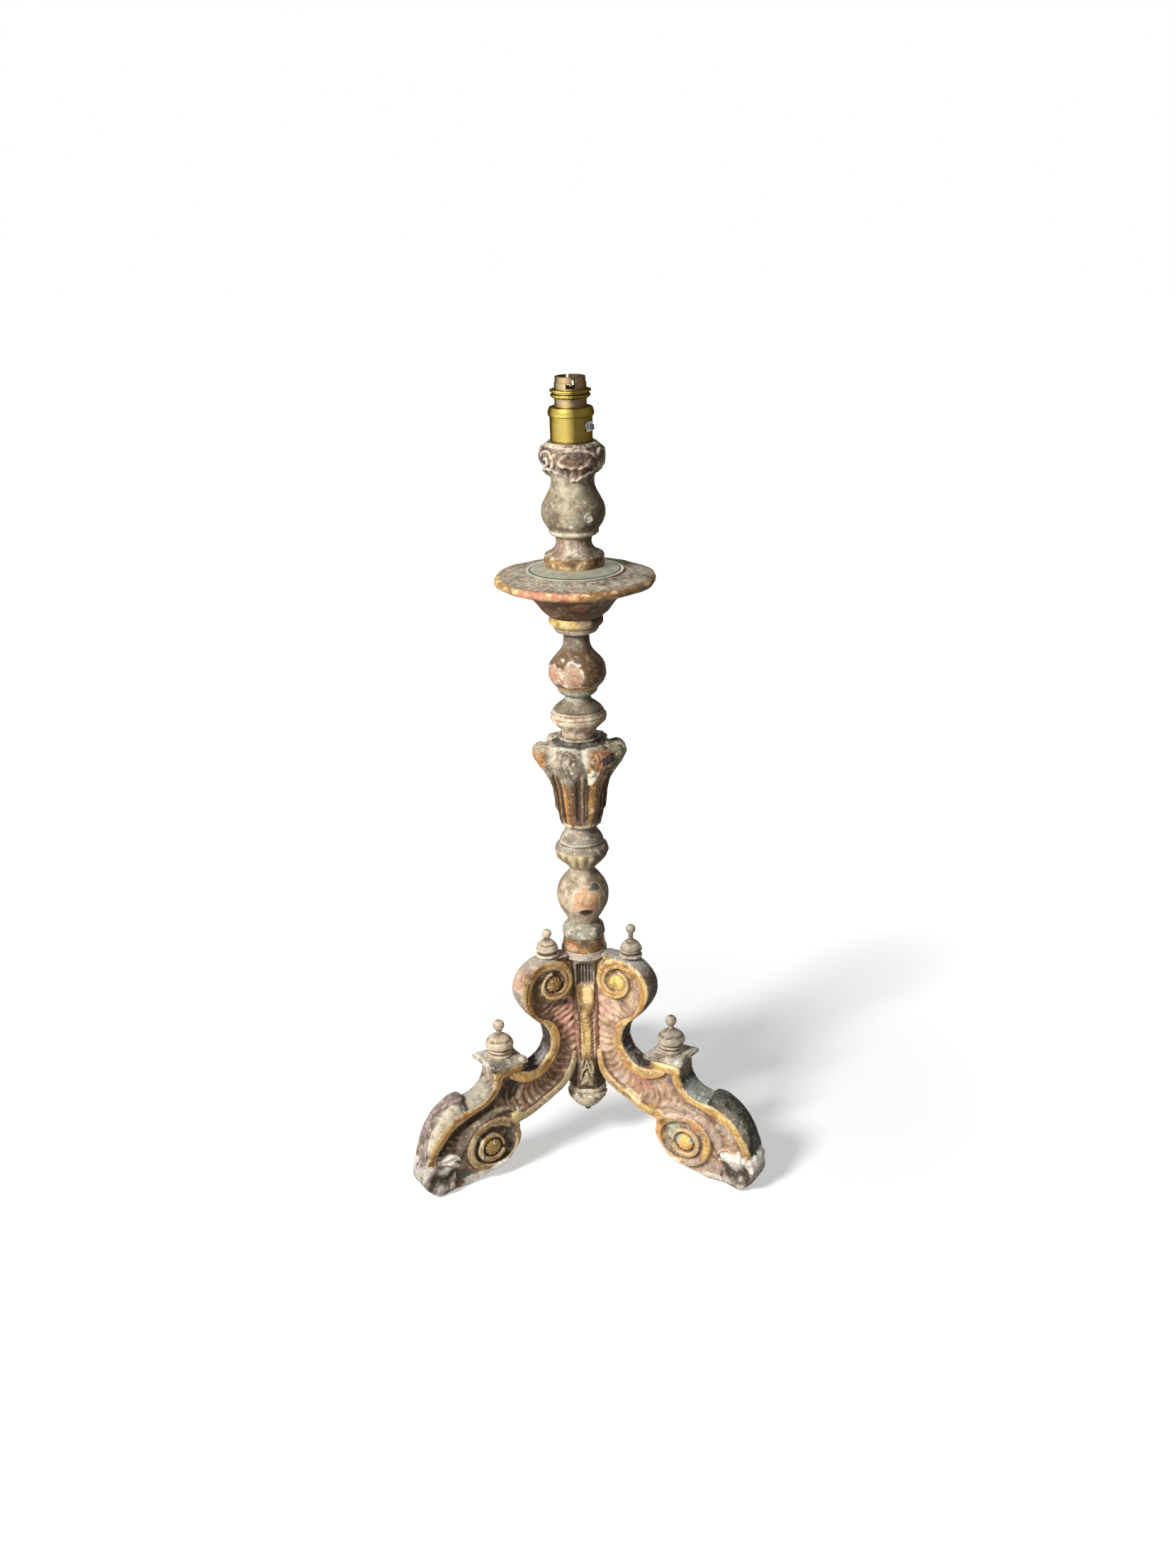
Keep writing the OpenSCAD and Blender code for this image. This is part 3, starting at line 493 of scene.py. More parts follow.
def leg_relief(r, z, seed):
    """Half thickness of a leg at each place of its face, with the masks of what is carved there."""
    half = 11 + 4 * step_up(r, 48, 84) * step_up(150 - z, 0, 30)
    flat = np.stack([r.ravel(), z.ravel(), np.full(r.size, 5.5)], 1)
    sway = mottling(flat, 26, seed).reshape(r.shape)
    sway_z = mottling(flat, 23, seed + 1).reshape(r.shape)
    uneven = mottling(flat, 11, seed + 2).reshape(r.shape)
    rc, zc = r + 0.9 * sway, z + 0.9 * sway_z
    near, inward = {}, {}
    for name, line in gilt_bands.items():
        d, _, side, width = nearest_on_line(line, rc, zc)
        near[name] = d - width[..., 0]
        inward[name] = d * side * band_turn.get(name, 1)
    nearest = np.minimum.reduce(list(near.values()))
    gap = np.clip(nearest, 0, None)
    floor_depth = 1.4 * step_up(gap, 0, 0.9) + 4.3 * (1 - np.exp(-gap / 2.8))
    d, along, side, _ = nearest_on_line(channel, rc, zc)
    across = d * side
    in_channel = step_up(16 - d, 0, 4) * step_up(gap, 0.8, 2.2)
    around_volute = np.hypot(r - volute_eye[0], z - volute_eye[1])
    in_channel = in_channel * step_up(around_volute, 18, 24)
    ribs = np.cos(2 * math.pi * (along + 0.028 * across ** 2 + 3.0 * sway + 1.1 * uneven) / 7.4)
    turn_v = np.arctan2(z - volute_eye[1], r - volute_eye[0])
    turn_f = np.arctan2(z - foot_eye[1], r - foot_eye[0])
    around_foot = np.hypot(r - foot_eye[0], (z - foot_eye[1]) * 1.08)
    in_volute = step_up(34 - around_volute, 0, 4) * step_up(gap, 0.6, 1.8)
    in_foot = step_up(27 - around_foot, 0, 3) * step_up(gap, 0.6, 1.8)
    folds = (0.75 + 0.45 * uneven) * in_channel * ribs * (1 - 0.5 * in_foot) + 0.5 * uneven * in_channel
    folds += 0.6 * in_volute * (1 - in_channel) * np.cos(turn_v * 9 + around_volute * 0.35)
    folds += 0.6 * in_foot * np.cos(turn_f * 11 - around_foot * 0.12)
    eye_v = np.clip(1 - (around_volute / 9.2) ** 2, 0, None) ** 0.5
    eye_f = np.clip(1 - (np.hypot(r - foot_eye[0], z - foot_eye[1]) / 9.4) ** 2, 0, None) ** 0.5
    d, _, _, width = nearest_on_line(deep_channel, rc, zc)
    in_deep = step_up(width[..., 0] - d, -1.2, 1.5) * step_up(gap, 0.5, 1.5)
    d, _, _, width = nearest_on_line(tongue, rc, zc)
    on_tongue = np.clip(1 - (d / (width[..., 0] + 1.2)) ** 2, 0, None) ** 0.5 * step_up(gap, 0.3, 1.2)
    in_leaf = step_up(-inside_outline(toe_leaf, rc, zc), -1.2, 1.2)
    leaf_turn = np.arctan2(zc - 30, rc - 150)
    leaf_out = np.hypot(rc - 150, zc - 30)
    veins = np.cos(leaf_turn * 9 + 1.2 * np.sin(leaf_out * 0.28)) + 0.5 * uneven
    off_leaf = 1 - in_leaf
    ridge = 0.55 * np.clip(-nearest, 0, 3) ** 0.5
    groove = sum(0.7 * np.exp(-((inward[name] - 0.6) / 0.8) ** 2) * (near[name] < -1)
                 for name in ("cove", "ledge", "volute"))
    groove += sum(0.7 * step_up(inward[name], 0.4, 2.4) * (near[name] < 0.5) for name in ("cove", "ledge"))
    flat_floor = np.where((eye_v > 0) | (eye_f > 0), 0, 1)
    height = half - 0.6 - floor_depth * flat_floor * (1 - 0.8 * in_leaf)
    height += (folds * (1 - in_deep) * (1 - on_tongue) - 1.8 * in_deep + 2.6 * on_tongue) * off_leaf
    height += (ridge - groove + 0.25 * uneven) * off_leaf
    height += (eye_v * 3.8 - (eye_v > 0) * 3.2) + (eye_f * 4.2 - (eye_f > 0) * 2.6)
    height += in_leaf * (0.9 + 1.5 * veins)
    masks = {"near": near, "inward": inward, "nearest": nearest, "channel": in_channel, "ribs": ribs,
             "deep": in_deep, "volute": in_volute, "foot": in_foot, "eye_v": eye_v, "eye_f": eye_f,
             "tongue": on_tongue, "leaf": in_leaf, "veins": veins, "half": half}
    return height, masks


def softened(grid, reach):
    """A grid of values averaged over this many places each way."""
    for axis in (0, 1):
        grid = sum(np.roll(grid, k, axis) for k in range(-reach, reach + 1)) / (2 * reach + 1)
    return grid


def shaded_hollows_and_pale_crests(colour, hollow, ragged, hollow_shade=0.8, worn=0.6, crest_colour=(0.78, 0.68, 0.52)):
    """Painted shade in the hollows, and gesso on the crests that is partly wear and partly a painted
    highlight.
    """
    colour = laid(colour, (0.05, 0.036, 0.024), hollow_shade * step_up(hollow + 0.25 * ragged, 0.15, 1.0))
    return laid(colour, crest_colour, worn * step_up(-hollow + 0.5 * ragged, 0.35, 0.9))


def blotted(colour, r, z, noise, patches):
    """Ragged oval patches of paint: centre, half sizes, tilt in degrees, colour and share of metal."""
    for at_r, at_z, long, wide, tilt, paint, *metal in patches:
        lean = math.radians(tilt)
        u = (r - at_r) * math.cos(lean) + (z - at_z) * math.sin(lean)
        v = (z - at_z) * math.cos(lean) - (r - at_r) * math.sin(lean)
        inside = 1 - np.hypot(u / long, v / wide) - 0.35 * noise
        colour = laid(colour, paint, step_up(inside, -0.06, 0.14), *metal)
    return colour


# In each look, the "deep" colour and the "dark" amount make the painted shade in the ribs, the deep
# channel, beside the bands and in the hollows; the edge amount makes the pale crests, partly wear and
# partly painted highlight.
leg_looks = {
    "left": {
        "recess": (0.20, 0.125, 0.07), "slope": (0.40, 0.24, 0.075), "turn": -60, "early": 7, "drop": 0,
        "seed": 21, "floor": (0.27, 0.145, 0.09), "dust": (0.44, 0.32, 0.22),
        "deep": (0.045, 0.032, 0.02), "dark": 0.8, "roll": (0.52, 0.30, 0.19),
        "tongue": (0.20, 0.155, 0.12),
        "crown": (0.25, 0.195, 0.17), "dip": (0.40, 0.36, 0.28), "foot": (0.13, 0.10, 0.065),
        "bands": {"volute": (0.34, 0.18, 0.055), "cove": (0.74, 0.46, 0.15), "ledge": (0.50, 0.27, 0.08),
                  "underside": (0.36, 0.29, 0.17), "foot": (0.26, 0.16, 0.075),
                  "foot_eye": (0.22, 0.13, 0.05)},
        "edges": (0.60, 0.42, 0.17), "edge_wear_and_highlight": 0.5, "flaked": 0.9, "eye": (0.30, 0.17, 0.045),
        "foot_eye": (0.26, 0.17, 0.05),
        "patches": [
            # The first patch and the sixth, on the channel beside the hub, are pink bole made brighter as a
            # painted highlight.
            (27, 165, 11, 14, 0, (0.78, 0.40, 0.29)), (36, 176, 12, 4, 10, (0.17, 0.10, 0.08)),
            (56, 84, 12, 7, -30, (0.32, 0.21, 0.15)), (80, 83, 9, 6, 0, (0.36, 0.18, 0.12)),
            (98, 96, 10, 11, 60, (0.05, 0.035, 0.025)), (22, 138, 8, 16, 0, (0.80, 0.46, 0.36)),
            (170, 54, 22, 5.5, -48, (0.09, 0.055, 0.04)),
            (62, 203, 4, 14, 0, (0.13, 0.10, 0.06)), (48, 214, 9, 1.6, -20, (0.66, 0.55, 0.36)),
            (55, 198, 1.5, 8, 0, (0.60, 0.47, 0.28)), (31, 210, 1.5, 6, -30, (0.48, 0.34, 0.16), 0.5),
            (24, 214, 8, 5, 30, (0.42, 0.24, 0.09), 0.8), (44, 221, 18, 2.4, 0, (0.50, 0.31, 0.12), 0.8),
            (134, 41, 2.2, 11, 0, (0.72, 0.63, 0.48)), (143, 42, 5, 14, 5, (0.56, 0.43, 0.27), 0.3),
            (103, 24, 7, 10, -40, (0.13, 0.075, 0.04), 0.2),
            (93, 66, 6, 5, 0, (0.42, 0.35, 0.16), 0.6), (90, 72, 7, 1.6, 10, (0.66, 0.56, 0.40)),
            (152, 14, 12, 6, 20, (0.16, 0.14, 0.10)), (100, 40, 5, 19, 0, (0.10, 0.085, 0.06)),
            (168, 88, 20, 4.5, -32, (0.82, 0.72, 0.46), 0.5), (123, 104, 4, 9, 40, (0.60, 0.41, 0.17), 0.9),
            (98, 125, 13, 2.4, 0, (0.68, 0.52, 0.28), 0.6), (190, 62, 4, 12, 20, (0.52, 0.32, 0.11), 0.9)],
        "gesso": [
            (122, 10.5, 34, 8, -14, (0.92, 0.87, 0.75)), (174, 39, 15, 4.5, 4, (0.84, 0.78, 0.66)),
            (197, 34, 8, 9, 0, (0.60, 0.53, 0.47))]},
    "right": {
        "recess": (0.38, 0.225, 0.15), "slope": (0.50, 0.30, 0.11), "turn": 60, "early": 6, "drop": 4,
        "seed": 42, "floor": (0.45, 0.265, 0.17), "dust": (0.66, 0.49, 0.35),
        "deep": (0.15, 0.08, 0.05), "dark": 0.5, "roll": (0.075, 0.05, 0.042), "tongue": (0.44, 0.32, 0.25),
        "crown": (0.055, 0.058, 0.05), "dip": (0.25, 0.28, 0.24), "foot": (0.33, 0.265, 0.185),
        "bands": {"volute": (0.60, 0.35, 0.11), "cove": (0.78, 0.50, 0.19), "ledge": (0.80, 0.54, 0.19),
                  "underside": (0.60, 0.37, 0.15), "foot": (0.54, 0.29, 0.11),
                  "foot_eye": (0.48, 0.31, 0.15)},
        "edges": (0.76, 0.54, 0.23), "edge_wear_and_highlight": 0.6, "flaked": 0.15, "eye": (0.78, 0.54, 0.16),
        "foot_eye": (0.84, 0.50, 0.13),
        "patches": [
            (28, 168, 13, 15, 0, (0.78, 0.50, 0.36)), (56, 190, 8, 14, 0, (0.55, 0.36, 0.26)),
            (66, 176, 6, 9, 30, (0.66, 0.44, 0.34)), (46, 224, 24, 4, -4, (0.92, 0.72, 0.33), 0.8),
            (22, 208, 5, 12, 0, (0.84, 0.56, 0.18), 1), (66, 166, 7, 4, 20, (0.36, 0.17, 0.06), 0.7),
            (24, 130, 7, 14, 0, (0.62, 0.40, 0.29)), (70, 92, 20, 6, -5, (0.52, 0.24, 0.18)),
            (44, 92, 11, 6, -35, (0.58, 0.42, 0.31)), (104, 106, 7, 5, 60, (0.22, 0.19, 0.20)),
            (112, 68, 20, 4, 5, (0.66, 0.47, 0.36)), (92, 44, 4, 20, 0, (0.72, 0.36, 0.13), 0.7),
            (108, 48, 8, 13, 10, (0.46, 0.44, 0.33)), (146, 36, 5, 14, 0, (0.66, 0.36, 0.10), 0.8),
            (132, 58, 7, 4, -30, (0.60, 0.26, 0.16)), (131, 44, 4, 4, 0, (0.34, 0.42, 0.33)),
            (145, 15, 26, 8, -6, (0.47, 0.34, 0.25)),
            (152, 5, 22, 3, 0, (0.74, 0.68, 0.58)),
            (165, 62, 14, 5, -45, (0.44, 0.34, 0.28)), (84, 66, 12, 3.5, -6, (0.50, 0.30, 0.08), 0.9),
            (60, 76, 10, 3, -26, (0.84, 0.66, 0.38), 0.6), (98, 124, 14, 4, -4, (0.92, 0.76, 0.40), 0.7)],
        "gesso": [
            (110, 12, 20, 6, -24, (0.90, 0.85, 0.76)), (176, 36, 16, 5, 0, (0.84, 0.79, 0.68)),
            (198, 35, 8, 9, 0, (0.82, 0.77, 0.68))]},
}
leg_looks["back"] = dict(leg_looks["right"], turn=180, drop=2, seed=63, crown=(0.18, 0.16, 0.14),
                         roll=(0.30, 0.19, 0.13), patches=leg_looks["left"]["patches"][:6])
worn_leg = aged_gilding("worn_gilded_leg", chips=0.7, dust=0.2)

for side_name, look in leg_looks.items():
    crown_line = leg_crown(look["drop"])
    face_r, face_z = np.meshgrid(np.arange(12, 208, 1.0), np.arange(-5, 238, 1.0), indexing="ij")
    face_height, face_masks = leg_relief(face_r, face_z, look["seed"])
    base_d = inside_outline(leg_outline, face_r, face_z)
    crown_d = np.minimum(inside_outline(crown_line, face_r, face_z), base_d)
    up = np.clip(base_d / np.clip(base_d - crown_d, 1e-6, None), 0, 1)
    dome = np.where(base_d > 0, (face_masks["half"] - 1.2) * np.sqrt(1 - up ** 2), face_height)
    edge = np.clip(-crown_d, 0, 2.2)
    soft_edge = 2.2 - np.sqrt(np.clip(2.2 ** 2 - (2.2 - edge) ** 2, 0, None))
    half_map = np.where(crown_d < 0, dome - 0.9 * soft_edge, -3)
    soft_height = softened(face_height, 3)
    slope = np.sqrt(1 + np.clip(np.gradient(half_map, axis=0) ** 2
                                + np.gradient(half_map, axis=1) ** 2, 0, 9))

    def leg_field(x, y, z):
        board = np.maximum((np.abs(x) - half_map[None]) / slope[None], crown_d[None] * 0.9)
        away_r, away_z = y - toe_curl[0], z - toe_curl[1]
        wavy = 0.5 * np.cos(3 * np.arctan2(away_z, away_r) + 0.3 * x)
        curl = np.hypot(away_r, away_z) - toe_curl_r - wavy
        curl = np.maximum(curl, np.hypot(np.clip(np.abs(x) - 7, 0, None), np.clip(curl + 5, 0, None)) - 5)
        return np.minimum(board, curl)

    leg, at = carved("carved_leg_" + side_name, (-18, 12, -5), (18, 207, 237), 1.0, leg_field, 0.18)
    x, r, z = at.T
    height, m = leg_relief(r, z, look["seed"])
    out_d = inside_outline(leg_outline, r, z)
    mid_d = inside_outline(crown_line, r, z)
    lumps = mottling(at, 14, look["seed"] + 5)
    small = mottling(at, 5, look["seed"] + 6)
    top = np.clip(step_up(out_d, -0.3, 0.6) + step_up(mid_d, -1.2, -0.5)
                  * step_up(m["half"] - 1.6 - np.abs(x), 0, 1.5), 0, 1)
    colour = layered((*look["floor"], 0.0), [
        (look["dust"], 0.6 * step_up(lumps, 0.0, 0.7)),
        (look["recess"], 0.85 * m["volute"]),
        (look["foot"], 0.85 * m["foot"])])
    colour = blotted(colour, r, z, lumps, look["patches"][:look["early"]])
    in_rib = m["channel"] * (1 - m["deep"]) * (1 - m["tongue"])
    scrolls = np.maximum(m["volute"], m["foot"])
    beside = m["near"]["volute"]
    # Painted shade: the first, fifth and sixth rows darken the troughs of the ribs, the deep channel and a
    # line beside each raised band; the second row makes the crests of the ribs paler.
    colour = layered(colour, [
        (look["deep"], 0.45 * step_up(-m["ribs"] - 0.9 * small, 0.5, 1.3) * in_rib),
        (look["dust"], 0.65 * step_up(m["ribs"] + 1.2 * lumps, 0.6, 1.4) * in_rib),
        (look["tongue"], 0.9 * step_up(m["tongue"], 0.1, 0.5)),
        (look["dust"], 0.6 * step_up(m["tongue"], 0.7, 1) * step_up(small, -0.1, 0.4)),
        (look["deep"], (2 * look["dark"] - 0.8) * m["deep"]),
        (look["deep"], 0.8 * (1 - 0.6 * scrolls) * step_up(2.6 - m["nearest"], 0, 2)
         * step_up(m["nearest"], 0.2, 0.8)),
        (look["slope"], m["volute"] * step_up(4.6 - beside, 0, 2) * step_up(beside, 0, 0.6)
         * step_up(small + 0.6, -0.2, 0.4) * 0.85, 0.8)])
    for band_name, d in m["near"].items():
        metal = np.array(look["bands"][band_name])
        on_band = step_up(-d, -0.3, 0.5)
        colour = layered(colour, [
            (metal, on_band, 1),
            (metal * (0.42, 0.33, 0.28), on_band * 0.8 * step_up(lumps + 0.9 * small, 0.1, 0.75), 0.5)])
        if band_name in ("cove", "ledge", "volute"):
            outer = step_up(-m["inward"][band_name], -0.6, 0.4) * on_band
            colour = layered(colour, [
                (look["edges"], 0.72 * outer * step_up(lumps + 0.5 * small, 0.7, 0.2), 0.8),
                (metal * (0.80, 0.64, 0.50), 0.7 * (on_band - outer), 0.8)])
        else:
            crest = step_up(-d, 0, 0.8) * step_up(d, -2.4, -0.9) * step_up(small + 0.3, -0.3, 0.3)
            colour = laid(colour, look["edges"], 0.6 * crest, 0.8)
    colour = layered(colour, [
        (look["eye"], step_up(m["eye_v"], 0.05, 0.3), 1),
        (look["foot_eye"], step_up(m["eye_f"], 0.05, 0.3), 1)])
    colour = blotted(colour, r, z, 0.6 * lumps + 0.4 * small, look["patches"][look["early"]:])
    cell_r = np.clip(np.round(r - 12), 0, face_r.shape[0] - 1).astype(int)
    cell_z = np.clip(np.round(z + 5), 0, face_r.shape[1] - 1).astype(int)
    hollow = soft_height[cell_r, cell_z] - height
    # Painted shade in the hollows of the carving, and pale crests, partly wear and partly painted
    # highlight.
    colour = shaded_hollows_and_pale_crests(colour, hollow, small, look["dark"] * (1 - 0.7 * in_rib - 0.3 * scrolls),
                     0.7 * look["edge_wear_and_highlight"], look["edges"])
    # A thin painted highlight along the edges of the raised bands.
    band_edge_highlight = about(m["nearest"] + 0.1, 0.5, 0.5) * step_up(small + 0.5 * lumps, -0.3, 0.3)
    roll = top * step_up(z, 150, 160)
    in_cove = top * within(z, 108, 112, 156, 162) * step_up(84 - r, 0, 3)
    crown = top * step_up(r, 112, 118) * step_up(z, 30, 42)
    lines = mottling(np.stack([x * 1.6, (r + z) * 0.16, (r - z) * 0.5], 1), 4, look["seed"] + 8, 3)
    leaf = m["leaf"]
    colour = layered(colour, [
        ((0.76, 0.64, 0.44), 0.7 * band_edge_highlight),
        (look["roll"], roll),
        ((0.44, 0.40, 0.34), look["flaked"] * roll * 0.8 * step_up(-lumps, 0.05, 0.5)),
        (np.array(look["roll"]) * (0.55, 0.42, 0.36), roll * 0.8 * step_up(lumps, 0.1, 0.5)),
        # Painted shade in the cove under the upper scroll, with a few paler spots in the next row.
        ((0.045, 0.034, 0.03), in_cove),
        ((0.22, 0.20, 0.20), in_cove * step_up(small + lumps, 0, 0.6) * step_up(132 - z, 0, 10)),
        (look["crown"], crown),
        (np.array(look["crown"]) * (0.36, 0.33, 0.30), crown * 0.75 * step_up(lines, 0.1, 0.6)),
        (np.clip(np.array(look["crown"]) * 1.9, 0, 0.6), crown * 0.6 * step_up(-lines, 0.25, 0.6)),
        ((0.78, 0.68, 0.50), 0.85 * look["flaked"] * crown * step_up(r, 154, 162) * step_up(z, 50, 60)
         * step_up(np.abs(x) + 2 * lumps, 9.5, 11)),
        (look["dip"], crown * step_up(150 - r, 0, 5) * step_up(r, 118, 126)),
        # Painted shade in the step of the crown.
        ((0.03, 0.025, 0.02), crown * about(r - 149, 2.2, 1.8) * step_up(out_d, -0.3, 1)),
        ((0.34, 0.31, 0.27), top * step_up(z, 214, 226) * 0.8),
        ((0.20, 0.16, 0.125), leaf * step_up(38 - z, 0, 5)),
        ((0.05, 0.035, 0.025), leaf * step_up(-m["veins"] - small, 0.2, 0.9) * 0.85),
        ((0.56, 0.51, 0.44), leaf * step_up(m["veins"] + small, 0.3, 1.0) * 0.85)])
    colour = blotted(colour, r, z, 0.6 * (lumps + small), look["gesso"])
    # Painted shade in the crease round the toe curl.
    round_curl = np.hypot(r - toe_curl[0], z - toe_curl[1]) - toe_curl_r - 0.5
    round_curl = about(round_curl, 1.1, 0.8) * step_up(np.abs(x), 4, 8) * step_up(196 - r, 0, 3)
    colour = laid(colour, (0.11, 0.08, 0.06), round_curl * 0.8)
    leg.rotation_euler = (0, 0, math.radians(look["turn"] - 180))
    bpy.context.view_layer.update()
    fitted(leg, colour, worn_leg, "leg_" + side_name)

# ------------------------------------------------------------
# The pendant under the hub and the six finials. Each is turned from softwood in one piece with
# its spigot, gilded, and now worn to a dusty beige.
# ------------------------------------------------------------


def profile_of(node, low, high, centre=(0, 0)):
    """Radius and height of a turned piece, from bottom to top, felt from outside its plain solid."""
    line = []
    for z in [*np.arange(low + 0.03, high - 0.03, 0.5), high - 0.03]:
        start = ((centre[0] + 200) / 1000, centre[1] / 1000, z / 1000)
        met, spot, *_ = nodes[node].ray_cast(start, (-1, 0, 0))
        if met:
            line.append([spot.x * 1000 - centre[0], z])
    return np.array(line)


def turned_piece(name, line, around, shape, step=0.8, centre=(0, 0), ring=False):
    """A turned piece from its profile; shape gives how far each place stands out from it."""
    rows = [line[0]]
    for a, b in zip(line[:-1], line[1:]):
        count = max(int(round(np.hypot(*(b - a)) / step)), 1)
        rows += [a + (b - a) * k / count for k in range(1, count + 1)]
    rows = np.array(rows)
    ahead = np.gradient(rows, axis=0)
    out = np.stack([ahead[:, 1], -ahead[:, 0]], 1)
    out /= np.maximum(np.hypot(out[:, 0], out[:, 1]), 1e-9)[:, None]
    az = np.linspace(0, 2 * math.pi, around, endpoint=False)
    az_grid, row = np.meshgrid(az, np.arange(len(rows)))
    r, z = rows[row, 0], rows[row, 1]
    height = shape(az_grid, z, r)
    far = np.maximum(r + out[row, 0] * height, 0.05)
    high = z + out[row, 1] * height
    points = np.stack([centre[0] + far * np.sin(az_grid), centre[1] - far * np.cos(az_grid), high], -1)
    points = points.reshape(-1, 3)
    index = np.arange(len(points)).reshape(len(rows), around)
    ahead_az = np.roll(index, -1, axis=1)
    quads = np.stack([index[:-1], ahead_az[:-1], ahead_az[1:], index[1:]], -1).reshape(-1, 4)
    faces = quads.tolist()
    if ring:
        last = np.stack([index[-1], ahead_az[-1], ahead_az[0], index[0]], -1)
        faces += last.tolist()
    else:
        faces += [index[0, ::-1].tolist(), index[-1].tolist()]
    piece = meshed(name, points, faces)
    turn = np.degrees((az_grid + math.pi) % (2 * math.pi) - math.pi).ravel()
    wide = max(int(3.2 / step), 2)
    padded = np.pad(rows[:, 0], wide, mode="edge")
    mean = np.convolve(padded, np.ones(2 * wide + 1) / (2 * wide + 1), mode="valid")
    hollow = (mean - rows[:, 0])[row] - 0.6 * height
    return piece, points, turn, z.ravel(), r.ravel(), hollow.ravel()


def side_shaded(colour, turn, ragged, amount=0.72):
    """Painted shade on the right side, away from the lamp, and a weaker band of painted shade at the left
    edge.
    """
    share = amount * step_up(turn + 9 * ragged, 10, 46) * step_up(130 - turn, 0, 40)
    share += 0.45 * amount * step_up(-turn + 9 * ragged, 50, 82) * step_up(140 + turn, 0, 30)
    kept = 1 - share[:, None] * (1 - np.array([0.26, 0.22, 0.18, 1.0]))
    return colour * kept


def worn_round(seed, depth=0.25):
    """A turned surface that has lost its smoothness to wear."""
    def shape(az, z, r):
        spots = np.stack([r * np.sin(az), -r * np.cos(az), z], -1).reshape(-1, 3)
        return depth * mottling(spots, 8, seed, 3).reshape(az.shape)
    return shape


dusty = aged_gilding("dusty_turned_wood", chips=0.5, dust=0.45)


def patch(turn, z, at, size, noise, r=25):
    """A ragged patch: how far inside it each place is, and its broken edge."""
    away = (turn - at[0] + 180) % 360 - 180
    e = np.hypot(np.radians(away) * r / size[0], (z - at[1]) / size[1]) + 0.28 * noise - 1
    return step_up(-e, -0.04, 0.06), np.exp(-(e / 0.09) ** 2)


finial_colours = {"left": (0.58, 0.46, 0.33), "right": (0.40, 0.33, 0.26), "back": (0.42, 0.35, 0.27)}
finial_levels = {"upper": (230.5, 0.35), "lower": (134.0, 0.2)}
for side_name, beige in finial_colours.items():
    for level, (base, dark_top) in finial_levels.items():
        node = level + "_finial_" + side_name
        low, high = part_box(node)
        centre = ((low + high) / 2 * 1000)[:2]
        line = profile_of(node, base, high.z * 1000, centre)
        line[-1, 0] = 0.3
        wear = worn_round(7, 0.22)
        piece, at, _, z, _, hollow = turned_piece("turned_" + node, line, 56, wear, 0.7, centre)
        lumps = mottling(at, 7, 70, 3)
        rise = (z - base) / (high.z * 1000 - base)
        colour = layered((*beige, 0.1), [
            (np.array(beige) * (0.72, 0.68, 0.66), step_up(lumps, 0, 0.6) * 0.8),
            ((0.68, 0.52, 0.34), step_up(-lumps, 0.1, 0.6) * step_up(0.55 - rise, 0, 0.2) * 0.6, 0.2)])
        for scored in (0.13, 0.24, 0.47):
            colour = laid(colour, (0.09, 0.065, 0.045), about(rise - scored, 0.035, 0.02) * 0.75)
        colour = laid(colour, (0.12, 0.09, 0.07), within(rise, 0.55, 0.62, 0.66, 0.72) * dark_top * 2)
        # Painted shade in the hollows of the profile, and pale crests, partly wear and partly painted
        # highlight.
        colour = shaded_hollows_and_pale_crests(colour, 1.6 * hollow, lumps)
        fitted(piece, colour, dusty, node)

line = profile_of("pendant_finial", 38.6, 72)
line[0, 0] = 0.3


def pendant_shape(az, z, r):
    return worn_round(9, 0.3)(az, z, r) + 0.7 * np.cos(az * 16 + 0.5 * (z - 58)) * within(z, 56, 58, 63, 66)


pendant, at, _, z, _, hollow = turned_piece("turned_pendant", line, 144, pendant_shape, 0.7)
lumps = mottling(at, 9, 71, 3)
small = mottling(at, 3.5, 72, 3)
colour = layered((0.62, 0.54, 0.41, 0.1), [
    ((0.24, 0.17, 0.10), step_up(lumps + 0.5 * small, 0.1, 0.5) * 0.85),
    ((0.84, 0.78, 0.64), step_up(small - 0.5 * lumps, 0.2, 0.5) * 0.8),
    ((0.74, 0.56, 0.24), step_up(-lumps, 0.35, 0.6), 0.8),
    ((0.62, 0.58, 0.50), about(z - 52, 0.9, 0.8)),
    ((0.10, 0.08, 0.06), step_up(46 - z, 0, 3))])
# Painted shade in the hollows of the profile, and pale crests, partly wear and partly painted highlight.
colour = shaded_hollows_and_pale_crests(colour, hollow, lumps)
fitted(pendant, colour, dusty, "pendant_finial")

# ------------------------------------------------------------
# The three plinth plates under the lower finials. Each is a small carved board with hollow sides
# and swollen corners, nailed to the ledge of its leg and thick with dust.
# ------------------------------------------------------------
plinth_half, plinth_long, plinth_thick = 20.0, 22.0, 6.0
dusty_plinth = aged_gilding("dusty_plinth", chips=0.8, dust=0.6)


def plinth_field(x, y, z):
    hollow = 1.6 * (1 - np.minimum(np.abs(y) / plinth_long, 1) ** 2)
    hollow_y = 1.6 * (1 - np.minimum(np.abs(x) / plinth_half, 1) ** 2)
    step_in = 1.8 * step_up(z, plinth_thick - 2.6, plinth_thick - 1.4) + 1.6 * step_up(0.2 - z, 0, 1.2)
    plate = np.maximum(np.abs(x) - plinth_half + hollow, np.abs(y) - plinth_long + hollow_y) + step_in
    knob = np.hypot(np.hypot(np.abs(x) - 15.4, np.abs(y) - 17.4) / 4.9, (z - 2.2) / 3.9) - 1
    return np.minimum(np.maximum.reduce([plate, z - plinth_thick + 0.1, -1.8 - z]), knob * 3.9)


